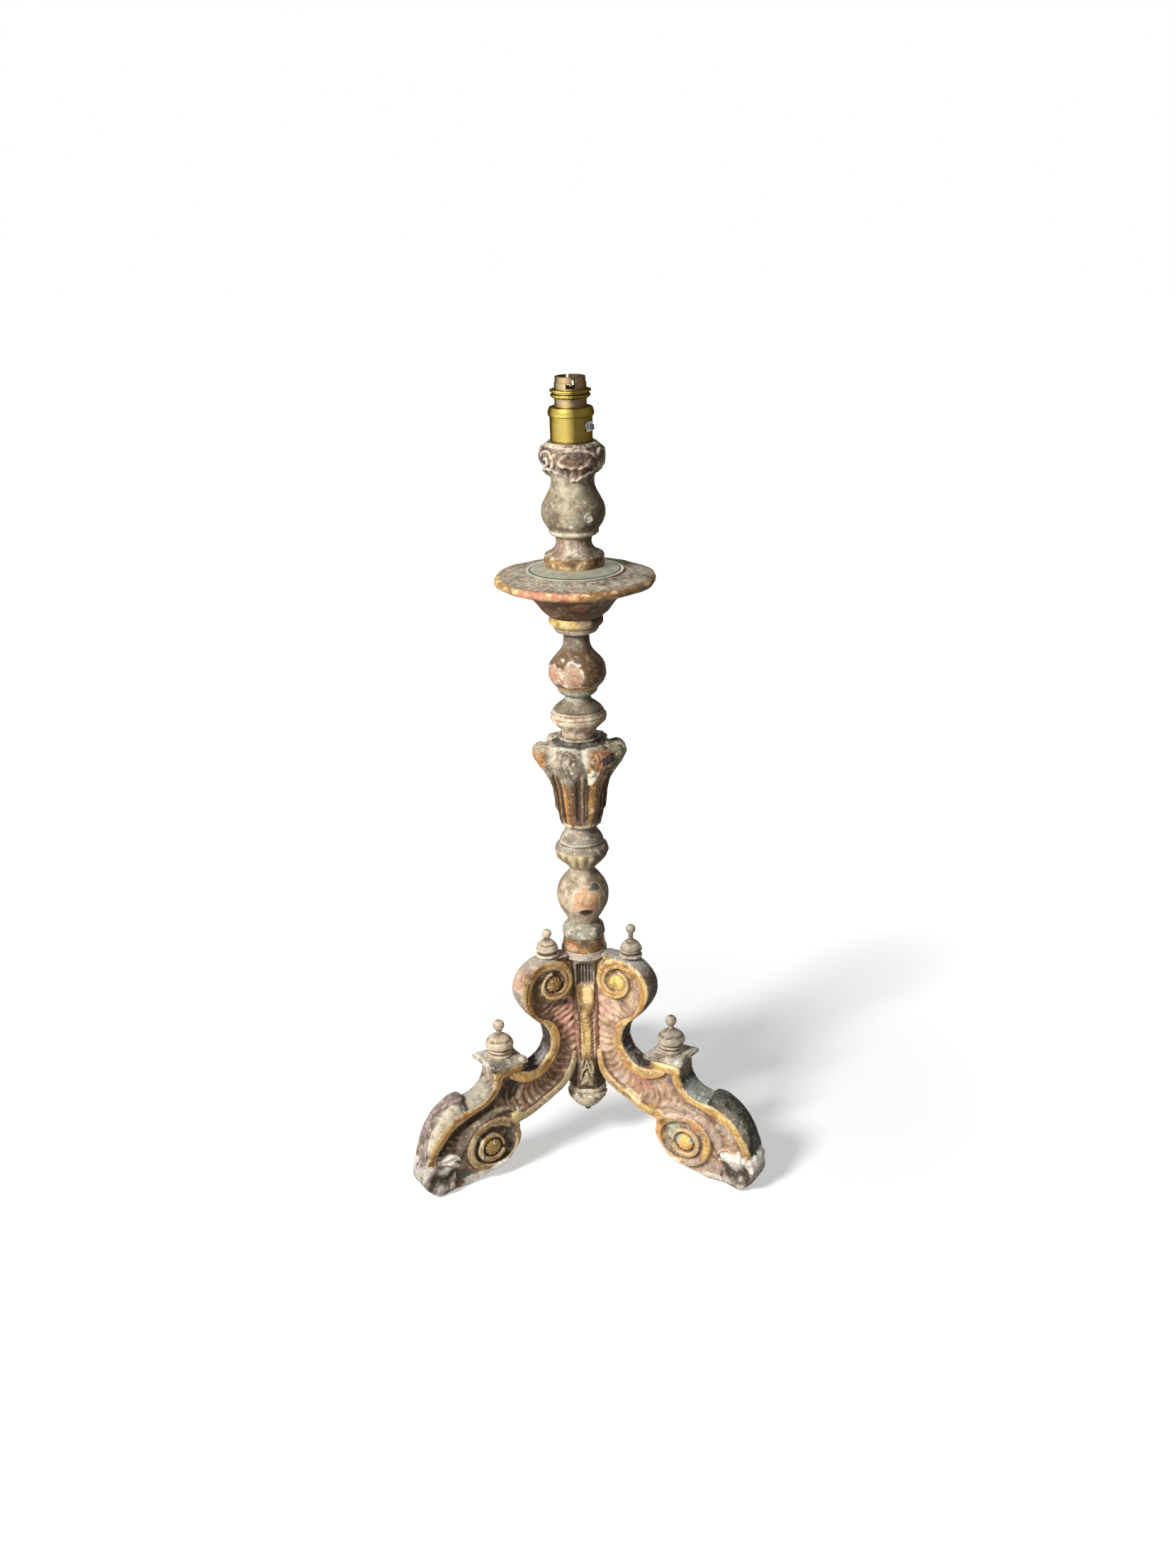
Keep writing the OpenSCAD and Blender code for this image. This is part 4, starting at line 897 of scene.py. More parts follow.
for side_name, turn_of_leg in (("left", -60), ("right", 60), ("back", 180)):
    node = "plinth_" + side_name
    low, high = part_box(node)
    middle = (low + high) / 2 * 1000
    plate, at = carved("carved_" + node, (-22, -24, -4), (22, 24, 8), 0.8, plinth_field, 0.3)
    turn = math.radians(turn_of_leg - 180)
    lumps = mottling(at + middle[0], 6, 80, 3)
    colour = layered((0.44, 0.385, 0.31, 0.0), [
        ((0.14, 0.115, 0.09), step_up(lumps, 0.15, 0.6) * 0.8),
        ((0.62, 0.52, 0.42), step_up(1.6 - at[:, 2], 0, 1) * step_up(lumps, 0.4, -0.1) * 0.8),
        ((0.10, 0.08, 0.065), about(at[:, 2] - 3.2, 0.8, 0.6) * 0.6),
        ((0.66, 0.62, 0.54), step_up(-lumps, 0.25, 0.5) * 0.7)])
    spun = np.stack([at[:, 0] * math.cos(turn) - at[:, 1] * math.sin(turn) + middle[0],
                     at[:, 0] * math.sin(turn) + at[:, 1] * math.cos(turn) + middle[1],
                     at[:, 2] + low.z * 1000], 1)
    plate.data.vertices.foreach_set("co", (spun / 1000).astype(np.float32).ravel())
    plate.data.update()
    fitted(plate, colour, dusty_plinth, node)

# ------------------------------------------------------------
# The lower column. It is turned from one length of softwood: a gilded foot, a ring carved with
# lobes, a ball that has lost much of its paint, and a knop carved with short flutes.
# ------------------------------------------------------------
lower_line = profile_of("lower_column", 231, 366)
ball_dent = (8, 277)


def lower_shape(az, z, r):
    lobes = 0.7 * np.abs(np.cos(az * 4.5 + (z - 244) * 0.09)) * within(z, 244, 248, 255, 258)
    flutes = 0.6 * np.cos(az * 15 + 0.8 * np.sin(az * 2)) * within(z, 323, 327, 336, 341)
    tips = 0.6 * np.cos(az * 11 + 1) * within(z, 329, 333, 336, 339)
    dent = -1.1 * patch(np.degrees(az), z, ball_dent, (7, 3.4), 0 * z, 24)[0]
    return lobes + flutes + tips + dent + worn_round(14, 0.3)(az, z, r)


column, at, turn, z, _, hollow = turned_piece("turned_lower_column", lower_line, 152, lower_shape)
lumps = mottling(at, 11, 90, 3)
small = mottling(at, 4, 91, 3)
foot = step_up(243.4 - z, 0, 0.8)
ring = within(z, 243.4, 245, 258, 260)
ball = within(z, 262, 265, 311, 314)
orange, rim = patch(turn, z, (12, 289), (17, 15.5), 1.5 * lumps + 0.4 * small)
colour = layered((0.38, 0.31, 0.22, 0.0), [
    ((0.30, 0.27, 0.21), step_up(lumps, 0.1, 0.7) * 0.6),
    ((0.36, 0.17, 0.055), foot, 0.8),
    ((0.16, 0.09, 0.045), foot * step_up(lumps, 0.0, 0.4) * 0.85, 0.4),
    ((0.50, 0.28, 0.15), foot * patch(turn, z, (-40, 236), (8, 4), small, 21)[0]),
    ((0.30, 0.29, 0.22), ring * 0.9),
    ((0.62, 0.55, 0.42), ring * step_up(small, 0.1, 0.5) * 0.7),
    ((0.54, 0.42, 0.29), ball),
    ((0.28, 0.22, 0.15), ball * step_up(lumps + 0.02 * (z - 292), 0.0, 0.45) * 0.8),
    ((0.68, 0.35, 0.17), ball * orange * 0.88),
    ((0.64, 0.47, 0.34), ball * orange * step_up(small, 0.15, 0.5) * 0.5),
    ((0.72, 0.66, 0.52), ball * rim * 0.7)])
bare, rim = patch(turn, z, (30, 303), (6.5, 4), small)
split = np.exp(-((turn - 41 - 4 * small) / 2.6) ** 2) * within(z, 276, 280, 296, 300)
knop = step_up(z, 321, 324)
flutes = np.cos(np.radians(turn) * 15) + 0.7 * small
colour = layered(colour, [
    ((0.15, 0.14, 0.12), ball * bare),
    ((0.80, 0.76, 0.66), ball * rim * step_up(turn, 10, 26) * 0.9),
    ((0.84, 0.80, 0.70), ball * split),
    ((0.06, 0.04, 0.03), ball * patch(turn, z, ball_dent, (7, 3.2), small)[0]),
    ((0.28, 0.24, 0.19), knop),
    ((0.52, 0.44, 0.34), knop * step_up(-turn, -12, 34) * step_up(z, 342, 346) * step_up(lumps, 0.3, -0.2)
     * 0.6),
    ((0.62, 0.50, 0.28), knop * step_up(342 - z, 0, 4) * step_up(-turn, -34, -8) * 0.9, 0.5),
    ((0.22, 0.13, 0.04), knop * step_up(340 - z, 0, 4) * step_up(flutes, 0, -0.9) * 0.7),
    ((0.08, 0.06, 0.05), about(z - 346.6, 0.9, 0.7) * 0.9),
    ((0.72, 0.66, 0.55), about(z - 348.6 - small, 0.9, 0.6) * 0.7),
    ((0.58, 0.55, 0.47), about(z - 260.8, 1.3, 0.6) * 0.8)])
# Painted shade on the right side, away from the lamp, and at the left edge; painted shade in the hollows
# and pale crests, partly wear and partly painted highlight.
colour = shaded_hollows_and_pale_crests(side_shaded(colour, turn, lumps), hollow, small)
fitted(column, colour, aged_gilding("worn_lower_column", chips=0.55, dust=0.35), "lower_column")

# ------------------------------------------------------------
# The capital. It is carved from a block of softwood as six long leaves that rise from a round
# foot and roll over at the top, with a narrow rib between each pair; gilt is left in the flutes.
# ------------------------------------------------------------
bell = flowing([[20, 366.5], [22.4, 377], [23.6, 385], [24.4, 395], [25.4, 404], [27, 412], [30, 420],
                [33, 428], [35, 436], [35.4, 443], [32, 449], [27.6, 452.5], [24, 453.6], [21, 456]], 3)
first_leaf, leaf_gap = 35, 60
leaf_turns = [first_leaf + leaf_gap * i for i in range(6)]
leaf_chain = [(37, 442, 9.3, 4.2), (33.5, 434, 8.2, 3.8), (30, 427, 6.8, 3.4), (26, 416, 4.6, 3),
              (23.6, 402, 3.0, 3), (22.4, 385, 2.4, 2.6)]


def capital_field(x, y, z):
    r = np.hypot(x, y)
    az = np.degrees(np.arctan2(x, -y))
    wall = np.interp(z, bell[:, 1], bell[:, 0])
    between = np.abs((az - first_leaf + leaf_gap / 2) % leaf_gap - leaf_gap / 2)
    in_flute = within(z, 371, 378, 418, 440)
    flutes = -2.6 * step_up(between, 14, 18) * step_up(between, 30, 22) * in_flute
    flutes += 0.8 * np.exp(-((between - 30) / 3.6) ** 2) * in_flute
    notch = 5.5 * step_up(between, 17, 30) * step_up(z, 418, 434)
    dish = 2.2 * step_up(33 - r, 0, 6) * step_up(r, 19, 22)
    body = np.maximum.reduce([(r - wall - flutes + notch) * 0.75, 366.1 - z, z - 455.8 + dish])
    for i, turn in enumerate(leaf_turns):
        out, side = turned_to(turn, x, y)
        here = (out > 12) & (np.abs(side) < 17)
        o, s, h = out[here], np.abs(side[here]), z[here]
        leaf = np.full(o.shape, 9.0)
        for (a_out, a_z, a_r, a_half), (b_out, b_z, b_r, b_half) in zip(leaf_chain[:-1], leaf_chain[1:]):
            way = np.array([b_out - a_out, b_z - a_z])
            t = np.clip(((o - a_out) * way[0] + (h - a_z) * way[1]) / (way @ way), 0, 1)
            half = a_half + t * (b_half - a_half)
            off = np.sqrt((o - a_out - t * way[0]) ** 2 + (h - a_z - t * way[1]) ** 2
                          + np.clip(s - half, 0, None) ** 2)
            leaf = np.minimum(leaf, off - (a_r + t * (b_r - a_r)))
        curl = np.hypot(o - 39, h - 439)
        leaf += 0.9 * np.exp(-(s / 0.9) ** 2) * step_up(o, 30, 34)
        leaf += 1.3 * np.exp(-((curl - 5.2) / 1.1) ** 2) * step_up(s, 6, 9)
        leaf += 0.5 * np.cos(s * 1.5 + 0.12 * h + i) * step_up(o, 28, 33)
        k = np.clip(0.5 + 0.5 * (body[here] - leaf) / 3.2, 0, 1)
        body[here] = body[here] * (1 - k) + leaf * k - 3.2 * k * (1 - k)
    return body


capital, at = carved("carved_capital", (-50, -50, 364), (50, 50, 458), 0.9, capital_field, 0.3)
x, y, z = at.T
r = np.hypot(x, y)
turn = np.degrees(np.arctan2(x, -y))
between = (turn - first_leaf + leaf_gap / 2) % leaf_gap - leaf_gap / 2
lumps = mottling(at, 10, 101, 3)
small = mottling(at, 4, 102, 3)
up_leaf = step_up(z, 408 + 6 * small, 422 + 6 * small)
colour = layered((0.19, 0.10, 0.045, 0.4), [
    ((0.06, 0.04, 0.026), step_up(np.abs(between), 12, 17) * about(between, 27.5, 3)),
    ((0.30, 0.20, 0.11), about(np.abs(between) - 30, 3.6, 3) * 0.8, 0.2)])
gold_strips = ((-35, (0.46, 0.21, 0.05)), (24, (0.35, 0.19, 0.055)), (-8, (0.13, 0.085, 0.055)),
               (46, (0.08, 0.04, 0.024)), (8, (0.24, 0.16, 0.10)))
for strip_turn, paint in gold_strips:
    colour = laid(colour, paint, about(turn - strip_turn + 4 * lumps, 7.5, 3) * step_up(424 - z, 0, 12),
                  0.8)
dust_top = step_up(z, 418, 436)
colour = layered(colour, [
    ((0.72, 0.60, 0.44), about(turn - 15 - 3 * lumps, 1.0, 0.8) * step_up(430 - z, 0, 12)),
    ((0.49, 0.46, 0.36), dust_top),
    ((0.68, 0.65, 0.54), dust_top * step_up(small + 0.5 * lumps, 0.1, 0.5) * 0.7),
    ((0.70, 0.66, 0.56), about(z - 449.5, 1.1, 0.8) * step_up(r, 26, 29) * 0.8),
    ((0.05, 0.045, 0.04), step_up(z, 450, 451.5) * step_up(27.5 - r, 0, 1.5) * 0.9)])
leaf_paints = {-85: (0.44, 0.38, 0.28), -25: (0.43, 0.35, 0.26), 35: (0.36, 0.17, 0.075),
               95: (0.40, 0.38, 0.26), 155: (0.36, 0.26, 0.16), -145: (0.38, 0.30, 0.20)}
for leaf_turn, paint in leaf_paints.items():
    away = (turn - leaf_turn + 180) % 360 - 180
    on_leaf = about(away, 24, 5) * up_leaf * step_up(r, 28, 33)
    edge_light = step_up(small + 0.6 * lumps, 0.2, 0.55) * 0.75
    colour = layered(colour, [
        (paint, on_leaf, 0.4 if leaf_turn in (-85, 35) else 0.0),
        (np.array(paint) * (0.42, 0.38, 0.36), on_leaf * step_up(lumps, 0.05, 0.45) * 0.8, 0.1),
        ((0.74, 0.68, 0.55), on_leaf * edge_light * (0.35 if leaf_turn == 35 else 1)),
        ((0.05, 0.035, 0.025), on_leaf * about(away - 3, 3.5, 3) * 0.55)])
colour = layered(colour, [
    ((0.60, 0.29, 0.11), patch(turn, z, (-76, 437), (15, 10), small, 40)[0] * step_up(r, 35, 39), 0.3),
    ((0.07, 0.045, 0.045), patch(turn, z, (44, 443), (11, 5), small, 38)[0] * step_up(r, 32, 36)),
    ((0.86, 0.76, 0.60), patch(turn, z, (22, 424), (4, 9), small, 34)[0] * step_up(r, 26, 29)),
    ((0.80, 0.70, 0.56), patch(turn, z, (-8, 432), (2.5, 9), small, 34)[0] * step_up(r, 27, 30)),
    ((0.68, 0.54, 0.34), step_up(371 - z, 0, 1.5) * step_up(small, -0.1, 0.2) * 0.8)])
# Painted shade on the right side, away from the lamp, and at the left edge.
colour = side_shaded(colour, turn - 12, lumps)
fitted(capital, colour, aged_gilding("worn_capital", chips=0.5, dust=0.2), "capital")

# ------------------------------------------------------------
# The upper column. It is turned from softwood: a scored knop, a vase that has flaked to its pink
# ground, a slender neck and a disc under the pan.
# ------------------------------------------------------------
upper_line = profile_of("upper_column", 456, 580)
knop_cuts = (479.5, 483.2, 486.0)


def upper_shape(az, z, r):
    cuts = sum(-0.8 * np.exp(-((z - level - 0.7 * np.sin(az + k)) / 0.55) ** 2)
               for k, level in enumerate(knop_cuts))
    beads = 0.8 * np.cos(az * 13) * np.exp(-((z - 471.5) / 2.4) ** 2)
    flake = -0.5 * patch(np.degrees(az), z, (-8, 526), (9.5, 12.5), 0.6 * np.sin(3 * az + z / 4), 27)[0]
    return cuts + beads + flake + worn_round(24, 0.28)(az, z, r)


column, at, turn, z, _, hollow = turned_piece("turned_upper_column", upper_line, 144, upper_shape)
lumps = mottling(at, 11, 111, 3)
small = mottling(at, 4, 112, 3)
knop = step_up(487 - z, 0, 3) * step_up(z, 459, 462)
cuts = sum(np.exp(-((z - level - 0.7 * np.sin(np.radians(turn) + k)) / 0.5) ** 2)
           for k, level in enumerate(knop_cuts))
vase = within(z, 508, 511, 544, 552)
pink, rim = patch(turn, z, (-12, 527), (11, 12.5), lumps, 27)
colour = layered((0.21, 0.17, 0.12, 0.0), [
    ((0.12, 0.085, 0.058), step_up(lumps, 0.0, 0.6) * 0.7),
    ((0.61, 0.49, 0.335), knop),
    ((0.46, 0.31, 0.215), knop * step_up(lumps, 0.05, 0.4) * 0.8),
    ((0.68, 0.64, 0.52), knop * step_up(small, 0.25, 0.5)),
    ((0.07, 0.055, 0.04), cuts * 0.8 * step_up(lumps + 0.5, 0, 0.4)),
    ((0.15, 0.085, 0.045), vase, 0.25),
    ((0.22, 0.17, 0.125), vase * step_up(z, 534, 542) * step_up(lumps, -0.2, 0.4)),
    ((0.46, 0.32, 0.23), vase * pink),
    ((0.50, 0.25, 0.16), vase * patch(turn, z, (-5, 523), (6, 9), small, 27)[0] * 0.9),
    ((0.80, 0.72, 0.58), vase * rim * step_up(small, -0.4, 0.1))])
left, rim = patch(turn, z, (-58, 525), (13, 9), small, 27)
waist = within(z, 494, 498, 506, 508)
neck = within(z, 552, 556, 561, 563)
disc = step_up(z, 563, 565)
bead = step_up(z, 569.5, 571)
colour = layered(colour, [
    ((0.50, 0.28, 0.18), vase * left * 0.9),
    ((0.74, 0.66, 0.52), vase * (rim * 0.8 + patch(turn, z, (-42, 538), (4, 2.4), small, 24)[0])
     * step_up(small, -0.5, 0)),
    ((0.62, 0.38, 0.17), about(z - 509.8, 2.4, 1) * 0.8, 0.6),
    ((0.80, 0.72, 0.58), about(z - 514 - 2 * small, 1.8, 1) * step_up(small, 0.1, 0.35)),
    ((0.40, 0.39, 0.33), waist * 0.8),
    ((0.15, 0.115, 0.08), neck * 0.9),
    ((0.46, 0.37, 0.26), disc * step_up(570 - z, 0, 1.5)),
    ((0.74, 0.50, 0.16), bead * step_up(12 * lumps + 8 * small - turn, -8, 2), 1),
    ((0.56, 0.40, 0.28), bead * step_up(turn - 12 * lumps - 8 * small, -2, 8) * step_up(40 - turn, 0, 10)),
    ((0.22, 0.12, 0.07), bead * step_up(small - lumps, 0.3, 0.7) * 0.7),
    # Painted shade on the right of the bead.
    ((0.16, 0.12, 0.07), bead * step_up(turn, 34, 50) * 0.9)])
# Painted shade on the right side, away from the lamp, and at the left edge; painted shade in the hollows
# and pale crests, partly wear and partly painted highlight.
colour = shaded_hollows_and_pale_crests(side_shaded(colour, turn, lumps), hollow, small)
fitted(column, colour, aged_gilding("worn_upper_column", chips=0.45, dust=0.25), "upper_column")

# ------------------------------------------------------------
# The drip pan. It is turned from softwood and painted red-brown, with a gilded rim; candle drips
# and dust have streaked its top grey.
# ------------------------------------------------------------
plate_r = 46.0
pan_line = np.vstack([
    [[24, 580.05], [25.6, 580.05]],
    flowing([[27, 580.8], [30, 583.4], [33, 586.4], [35.4, 589.8], [38.6, 594], [42.6, 598.4],
             [47.5, 602.6]], 3),
    flowing([[49, 604.2], [60, 606.8], [70.5, 609.8], [75.7, 612], [77.5, 614.4], [77.1, 616.8],
             [75.5, 618.4]], 3),
    [[72.5, 618.9], [60, 620.9], [plate_r + 0.5, 622.9], [40, 624.3], [30, 626.8], [28.5, 627.4]]])


def pan_shape(az, z, r):
    rim = 0.8 * np.sin(az * 3 + 1) * np.sin(az * 5) * step_up(r, 70, 77)
    return rim + worn_round(34, 0.3)(az, z, r)


pan, at, turn, z, r, _ = turned_piece("turned_pan", pan_line, 208, pan_shape, 0.9)
lumps = mottling(at, 12, 121, 3)
small = mottling(at, 4, 122, 3)
speckle = mottling(at, 2.4, 123, 2)
upper_side = step_up(z, 617.4, 618.4) * step_up(76.6 - r, 0, 2)
under_rim = step_up(r, 56, 63) * step_up(613.5 - z, 0, 2)
rim = step_up(r + 0.8 * small, 71.6, 74) * step_up(z, 607, 609)
colour = layered((0.11, 0.062, 0.036, 0.0), [
    ((0.23, 0.13, 0.075), step_up(lumps - 0.01 * turn, 0.1, 0.6) * 0.7),
    ((0.30, 0.12, 0.07), patch(turn, z, (6, 597), (9, 5), small, 40)[0] * 0.7),
    ((0.33, 0.28, 0.21), upper_side),
    ((0.56, 0.49, 0.37), upper_side * step_up(speckle + 0.4 * lumps, 0.1, 0.7) * 0.7),
    ((0.13, 0.10, 0.075), upper_side * step_up(-speckle - 0.4 * lumps, 0.1, 0.6) * 0.8),
    ((0.20, 0.13, 0.09), upper_side * step_up(r, 68, 72) * 0.5),
    ((0.36, 0.20, 0.075), under_rim * within(turn, -80, -60, 44, 64), 0.5),
    ((0.42, 0.17, 0.11), under_rim * step_up(-np.abs(turn + 22) + 26 + 10 * lumps, 0, 8) * 0.8, 0.1),
    ((0.30, 0.155, 0.055), rim, 0.6),
    ((0.52, 0.22, 0.13), rim * step_up(-np.abs(turn + 24) + 30 + 10 * lumps, 0, 8), 0.1),
    # Brighter gilt on the left of the rim, where the lamp falls: partly the gilding and partly a painted
    # highlight.
    ((0.70, 0.47, 0.19), rim * step_up(small + 0.5 * lumps + 0.4 * step_up(-turn - 30, 0, 20), 0.2, 0.6)
     * step_up(-turn, -16, 6) * 0.9, 0.7),
    # Gilt on the top edge of the rim, partly worn gilding and partly a painted highlight.
    ((0.82, 0.64, 0.38), rim * about(z - 617.4 - 0.6 * small, 1.3, 0.8)
     * step_up(lumps + 0.5 * small, 0.1, 0.4) * 0.8, 0.3),
    # Painted shade on the right of the rim and, in the next row, on the right side of the pan below the top
    # of its rim.
    ((0.13, 0.085, 0.05), rim * step_up(turn, 14, 34) * step_up(0.7 * small - lumps, -0.3, 0.2) * 0.9),
    ((0.06, 0.042, 0.03), within(turn, 30, 60, 100, 140) * step_up(616 - z, 0, 3) * 0.85)])
fitted(pan, colour, aged_gilding("streaked_pan", chips=0.25, dust=0.15), "drip_pan")

# ------------------------------------------------------------
# The metal plate on the pan. It is spun from thin zinc with a rolled rim, and has dulled to a
# greenish grey. Its solid has the right shape and keeps it.
# ------------------------------------------------------------


def vector_step(tree, operation, *parts):
    """One step of arithmetic on vectors."""
    node = added(tree, "VectorMath", dict(enumerate(parts)), operation=operation)
    return node.outputs["Value" if operation in ("DOT_PRODUCT", "LENGTH") else "Vector"]


def from_axis(tree):
    """The way from the stand's axis to each place, level with the floor."""
    return vector_step(tree, "MULTIPLY", added(tree, "TexCoord").outputs["Object"], (1, 1, 0))


lit_way = (-0.485, -0.875, 0)


def bare_metal(name, colour, dark, rough, metallic=1.0, patches=0.5, size=140, streak=1.0, painted_shade=0.0):
    """Metal that has dulled in random patches, with painted shade on the side turned away from the lamp and
    on faces that look in towards the axis.
    """
    material = bpy.data.materials.new(name)
    material.use_nodes = True
    tree = material.node_tree
    place = added(tree, "TexCoord").outputs["Object"]
    stretched = added(tree, "Mapping", {"Vector": place, "Scale": (1, 1, streak)}).outputs["Vector"]
    outward = vector_step(tree, "NORMALIZE", from_axis(tree))
    facing = vector_step(tree, "DOT_PRODUCT", outward, lit_way)
    normal = added(tree, "NewGeometry").outputs["Normal"]
    inward = vector_step(tree, "DOT_PRODUCT", normal, outward)
    # Painted shade: darker away from the lamp's side, and on faces turned in towards the axis, as inside
    # the barrel.
    side_and_inner_shade = number_step(tree, "ADD", mapped(tree, facing, 0.985, 0.78, 0, painted_shade),
                       mapped(tree, inward, -0.1, -0.5, 0, painted_shade))
    bloom = mapped(tree, noise_at(tree, stretched, size, 6, 0.65), 0.42, 0.68, 0, patches)
    amount = mapped(tree, number_step(tree, "ADD", side_and_inner_shade, bloom), 0, 1)
    scratches = {"Strength": 0.15, "Distance": 0.0003, "Height": noise_at(tree, stretched, 900, 3)}
    fed(tree, tree.nodes["Principled BSDF"], {
        "Base Color": mixed(tree, (*colour, 1), (*dark, 1), amount),
        "Roughness": mapped(tree, amount, 0, 1, rough, min(rough + 0.28, 0.95)),
        "Metallic": metallic,
        "Specular Tint": (*[metallic * c + 1 - metallic for c in dark], 1),
        "Normal": added(tree, "Bump", scratches).outputs["Normal"]})
    return material


def refinished(node, material):
    """Gives a plain solid that has the right shape its finish."""
    piece = nodes[node]
    piece.data.materials.clear()
    piece.data.materials.append(material)
    for polygon in piece.data.polygons:
        polygon.material_index = 0


zinc = bare_metal("dull_zinc", (0.38, 0.365, 0.275), (0.20, 0.18, 0.13), 0.55, 0.35, 0.8, 90)
tree = zinc.node_tree
shader = tree.nodes["Principled BSDF"]
plain = shader.inputs["Base Color"].links[0].from_socket
reach = vector_step(tree, "LENGTH", from_axis(tree))
# A painted highlight along the rolled rim at 45.4 mm, and a painted shadow line just inside it at 43.2 mm.
for edge_r, wide, paint in ((43.2, 0.9, (0.05, 0.045, 0.035)), (45.4, 1.0, (0.72, 0.69, 0.56))):
    off = number_step(tree, "ABSOLUTE", number_step(tree, "SUBTRACT", reach, edge_r / 1000))
    plain = mixed(tree, plain, (*paint, 1), mapped(tree, off, wide / 1000, 0.5 * wide / 1000))
fed(tree, shader, {"Base Color": plain})
refinished("drip_plate", zinc)

# ------------------------------------------------------------
# The nozzle. It is turned from softwood, with a carved collar of leaves and scrolls round its
# top, and once held the candle.
# ------------------------------------------------------------
nozzle_line = profile_of("nozzle", 629, 745)
collar_r, collar_turn, oval_z = 29.0, 4, 731
nozzle_chip = (28, 677.8)


def collar(az, z):
    """The carved collar in three equal parts: an oval under a swag, a hanging border, scrolls."""
    third = (np.degrees(az) - collar_turn + 60) % 120 - 60
    spots = np.stack([27 * np.sin(az), -27 * np.cos(az), z], -1).reshape(-1, 3)
    loose = mottling(spots, 8, 141, 3).reshape(az.shape)
    along = np.radians(third) * collar_r + 0.8 * loose
    high = z + 0.8 * mottling(spots, 11, 142).reshape(az.shape)
    lower_edge = 711.5 + 11 * (1 - np.exp(-(np.abs(along) / 17) ** 2)) + 0.9 * np.cos(along * 0.8)
    on = step_up(high - lower_edge, -0.6, 0.6) * step_up(745.5 - z, 0, 1.5)
    border = np.exp(-((high - lower_edge - 1.4) / 1.1) ** 2)
    oval = np.hypot(along / 11.5, (high - oval_z) / 5.4)
    frame_line = np.exp(-((oval - 1.15) / 0.13) ** 2) * np.clip(0.45 + 1.3 * loose, 0, 1)
    swag = np.exp(-((high - 740 + 0.011 * along ** 2) / 0.9) ** 2) * about(along, 22, 4)
    holes = sum(np.exp(-(np.hypot(along - o, high - 719.3) / 2.0) ** 2) for o in (-11.5, -4.3, 4.3, 11.5))
    away = np.radians(60 - np.abs(third)) * collar_r
    out = np.hypot(away, (high - oval_z) * 1.1) + loose
    way = np.arctan2(high - oval_z, away * np.sign(third))
    scroll = np.cos(out * 0.95 - way) * step_up(13 - out, 0, 3)
    ridges = np.clip(np.maximum.reduce([border, frame_line, swag, 0.9 * scroll]), 0, 1) * on
    return on, ridges, step_up(1 - oval, 0, 0.2) * on, holes * on, loose


def nozzle_shape(az, z, r):
    on, ridges, in_oval, holes, loose = collar(az, z)
    ledge = np.exp(-((z - 742.8) / 1.6) ** 4)
    chip = -0.7 * patch(np.degrees(az), z, nozzle_chip, (3.4, 3.6), 0 * z, 30)[0]
    carving = on * (0.4 + 2.7 * ridges - 0.9 * in_oval - 1.5 * holes + 0.7 * loose) + 1.2 * ledge
    keep = np.where(z > 706, np.clip(31.4 - r, -3, 3), 3)
    return np.minimum(carving * step_up(z, 704, 708), keep) + chip + worn_round(44, 0.28)(az, z, r)


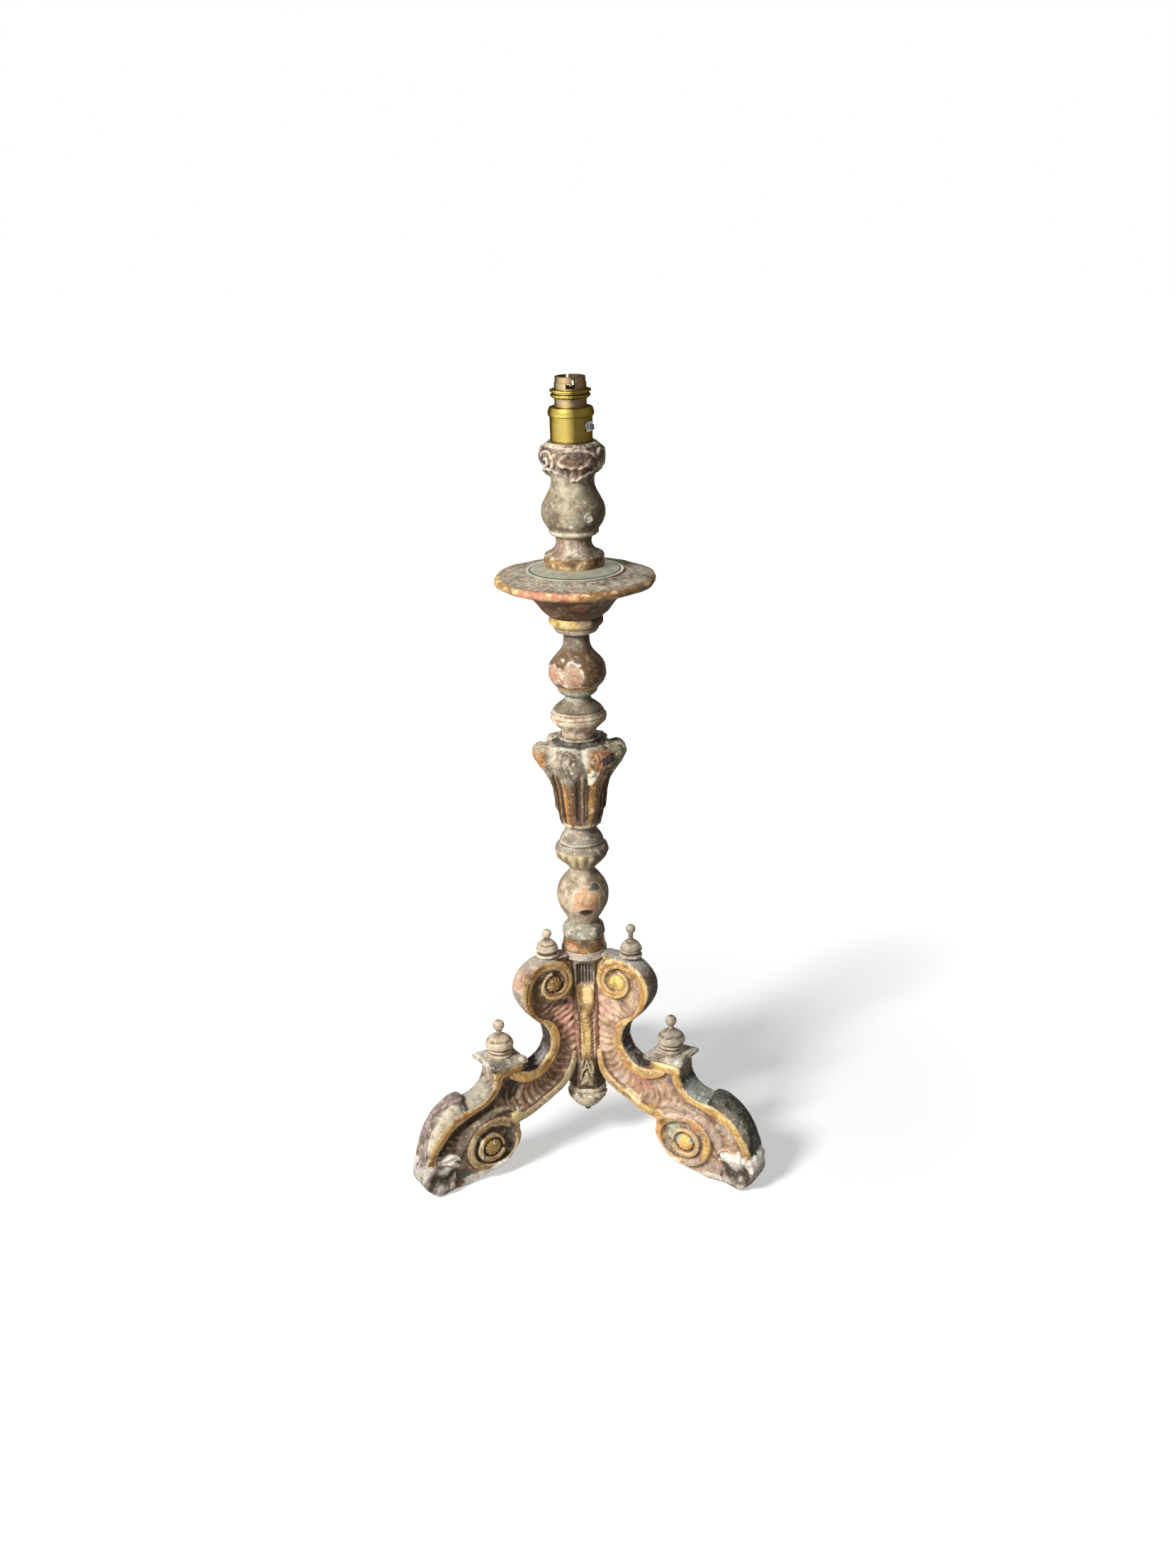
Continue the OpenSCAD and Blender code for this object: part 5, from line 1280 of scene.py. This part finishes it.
nozzle, at, turn, z, _, hollow = turned_piece("turned_nozzle", nozzle_line, 220, nozzle_shape, 0.75)
on, ridges, in_oval, holes, loose = collar(np.radians(turn), z)
lumps = mottling(at, 11, 131, 3)
small = mottling(at, 4, 132, 3)
chip = patch(turn, z, nozzle_chip, (4.4, 4.6), small, 30)[0]
foot = step_up(640 - z, 0, 1)
waist = within(z, 640, 643, 654, 657)
drips = mottling(np.stack([turn / 3, z / 9, 0 * z], 1), 2, 133)
colour = layered((0.26, 0.22, 0.15, 0.0), [
    # Painted highlight on the side towards the lamp; the next row makes the vase darker towards its bottom.
    ((0.48, 0.42, 0.30), step_up(0.5 * lumps + 0.6 - np.abs(turn + 14) / 55, 0.0, 0.7) * 0.8),
    ((0.14, 0.10, 0.065), step_up(-lumps + 0.06 * (679 - z), 0.15, 0.8) * step_up(z, 664, 668) * 0.85),
    ((0.97, 0.92, 0.82), np.maximum(chip, patch(turn, z, (-5, 670.5), (1.6, 1.8), small, 28)[0])),
    ((0.33, 0.19, 0.075), foot, 0.7),
    ((0.70, 0.54, 0.32), foot * step_up(small, 0.35, 0.6) * 0.7, 0.3),
    ((0.10, 0.07, 0.05), foot * step_up(-small - lumps, 0.2, 0.6) * 0.7),
    ((0.34, 0.27, 0.20), waist * 0.9),
    # Painted highlight on the front of the waist.
    ((0.66, 0.60, 0.52), waist * about(turn + 4, 26, 22) * step_up(small, -0.6, 0.1) * 0.9),
    ((0.24, 0.12, 0.08), waist * step_up(drips, 0.2, 0.6) * 0.8),
    ((0.58, 0.50, 0.38), within(z, 657, 659, 662.5, 664) * 0.9),
    ((0.20, 0.125, 0.085), on),
    ((0.34, 0.29, 0.30), on * step_up(lumps, 0.1, 0.5) * 0.6),
    ((0.19, 0.09, 0.06), in_oval * step_up(small + 0.3, -0.3, 0.3) * 0.7),
    ((0.46, 0.20, 0.08), step_up(holes, 0.3, 0.7) * step_up(small, -0.3, 0.2)),
    # Painted shade in the recesses of the carved collar; the next two rows make its ridges paler, partly
    # worn gilt and partly painted highlight.
    ((0.05, 0.035, 0.03), on * step_up(0.35 - ridges - holes, 0, 0.3) * step_up(-loose, -0.1, 0.4) * 0.8),
    ((0.62, 0.46, 0.32), step_up(ridges + 0.6 * small, 0.4, 0.9) * 0.8),
    ((0.84, 0.72, 0.54), step_up(ridges + 0.9 * small, 0.9, 1.4) * 0.9),
    ((0.72, 0.55, 0.42), step_up(z, 740.6, 741.8) * step_up(small, -0.6, 0.1) * 0.9),
    # Painted shade on the left of the collar.
    ((0.055, 0.045, 0.055), on * step_up(-turn, 44, 62) * step_up(0.75 - ridges, 0, 0.3) * 0.8)])
# Painted shade on the right side, away from the lamp, and at the left edge; painted shade in the hollows
# and pale crests, partly wear and partly painted highlight.
colour = shaded_hollows_and_pale_crests(side_shaded(colour, turn, lumps, 0.8), hollow, small, 0.8, 0.4)
fitted(nozzle, colour, aged_gilding("worn_nozzle", chips=0.4, dust=0.2), "nozzle")

# ------------------------------------------------------------
# The lampholder. A brass bayonet holder is screwed to the nozzle on a threaded tube: a plain
# body with a push-through switch bar, a ring, a darker barrel with two slots, and two shade
# rings. Inside is a porcelain block with two sprung contacts.
# ------------------------------------------------------------
# Both brasses take painted shade, at 0.94 and 0.9, on the side away from the lamp and on their inner faces.
yellow_brass = bare_metal("yellow_brass", (0.55, 0.42, 0.11), (0.11, 0.078, 0.016), 0.28, 1.0, 0.3, 60,
                          painted_shade=0.94)
dark_brass = bare_metal("aged_barrel_brass", (0.48, 0.36, 0.19), (0.10, 0.066, 0.036), 0.36, 1.0, 0.5, 110,
                        painted_shade=0.9)
steel = bare_metal("switch_steel", (0.36, 0.37, 0.37), (0.16, 0.16, 0.16), 0.35, 1.0, 0.4, 200)
# The porcelain is a dull beige, darker than its white glaze, as painted shade inside the barrel.
porcelain = bare_metal("glazed_porcelain", (0.50, 0.45, 0.36), (0.30, 0.25, 0.18), 0.3, 0.0, 0.5, 90)
black_tip = bare_metal("black_tip", (0.02, 0.02, 0.02), (0.05, 0.045, 0.04), 0.4, 0.0, 0.5, 200)
bare_wood = bare_metal("bare_dowel_wood", (0.50, 0.33, 0.17), (0.32, 0.19, 0.09), 0.7, 0.0, 0.8, 120, 0.1)
for node in ("holder_cover", "threaded_nipple", "nipple_nut", "contact_plunger_left",
             "contact_plunger_right", "terminal_screws", "earth_terminal", "retaining_ring"):
    refinished(node, yellow_brass)
refinished("socket_barrel", dark_brass)
for node in ("switch_bar", "switch_bushes", "plunger_spring_left", "plunger_spring_right"):
    refinished(node, steel)
refinished("contact_block", porcelain)
refinished("switch_tips", black_tip)
refinished("leg_dowels", bare_wood)

ring_lines = {
    "shade_ring_lower": [[15.1, 788.6], [15.1, 785.2], [16.6, 785.2], [18.2, 786.4], [18.7, 787.2],
                         [18.7, 788.2], [18.2, 788.6], [15.6, 788.6]],
    "shade_ring_upper": [[15.1, 793], [15.1, 789.4], [17.4, 789.4], [17.4, 790.8], [18.9, 791],
                         [19.3, 791.6], [19.3, 792.2], [18.8, 792.8], [15.6, 793]],
}
for node, line in ring_lines.items():
    def notched(az, z, r, teeth=28 if node.endswith("lower") else 84):
        return np.where(r > 17.8, -0.28 * (np.cos(az * teeth) > 0.2), 0)
    ring = turned_piece("notched_" + node, np.array(line), 336, notched, 0.5, ring=True)[0]
    ring.data.materials.append(yellow_brass)
    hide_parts(node)
    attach(ring, "lower_ring" if node.endswith("lower") else "upper_ring")
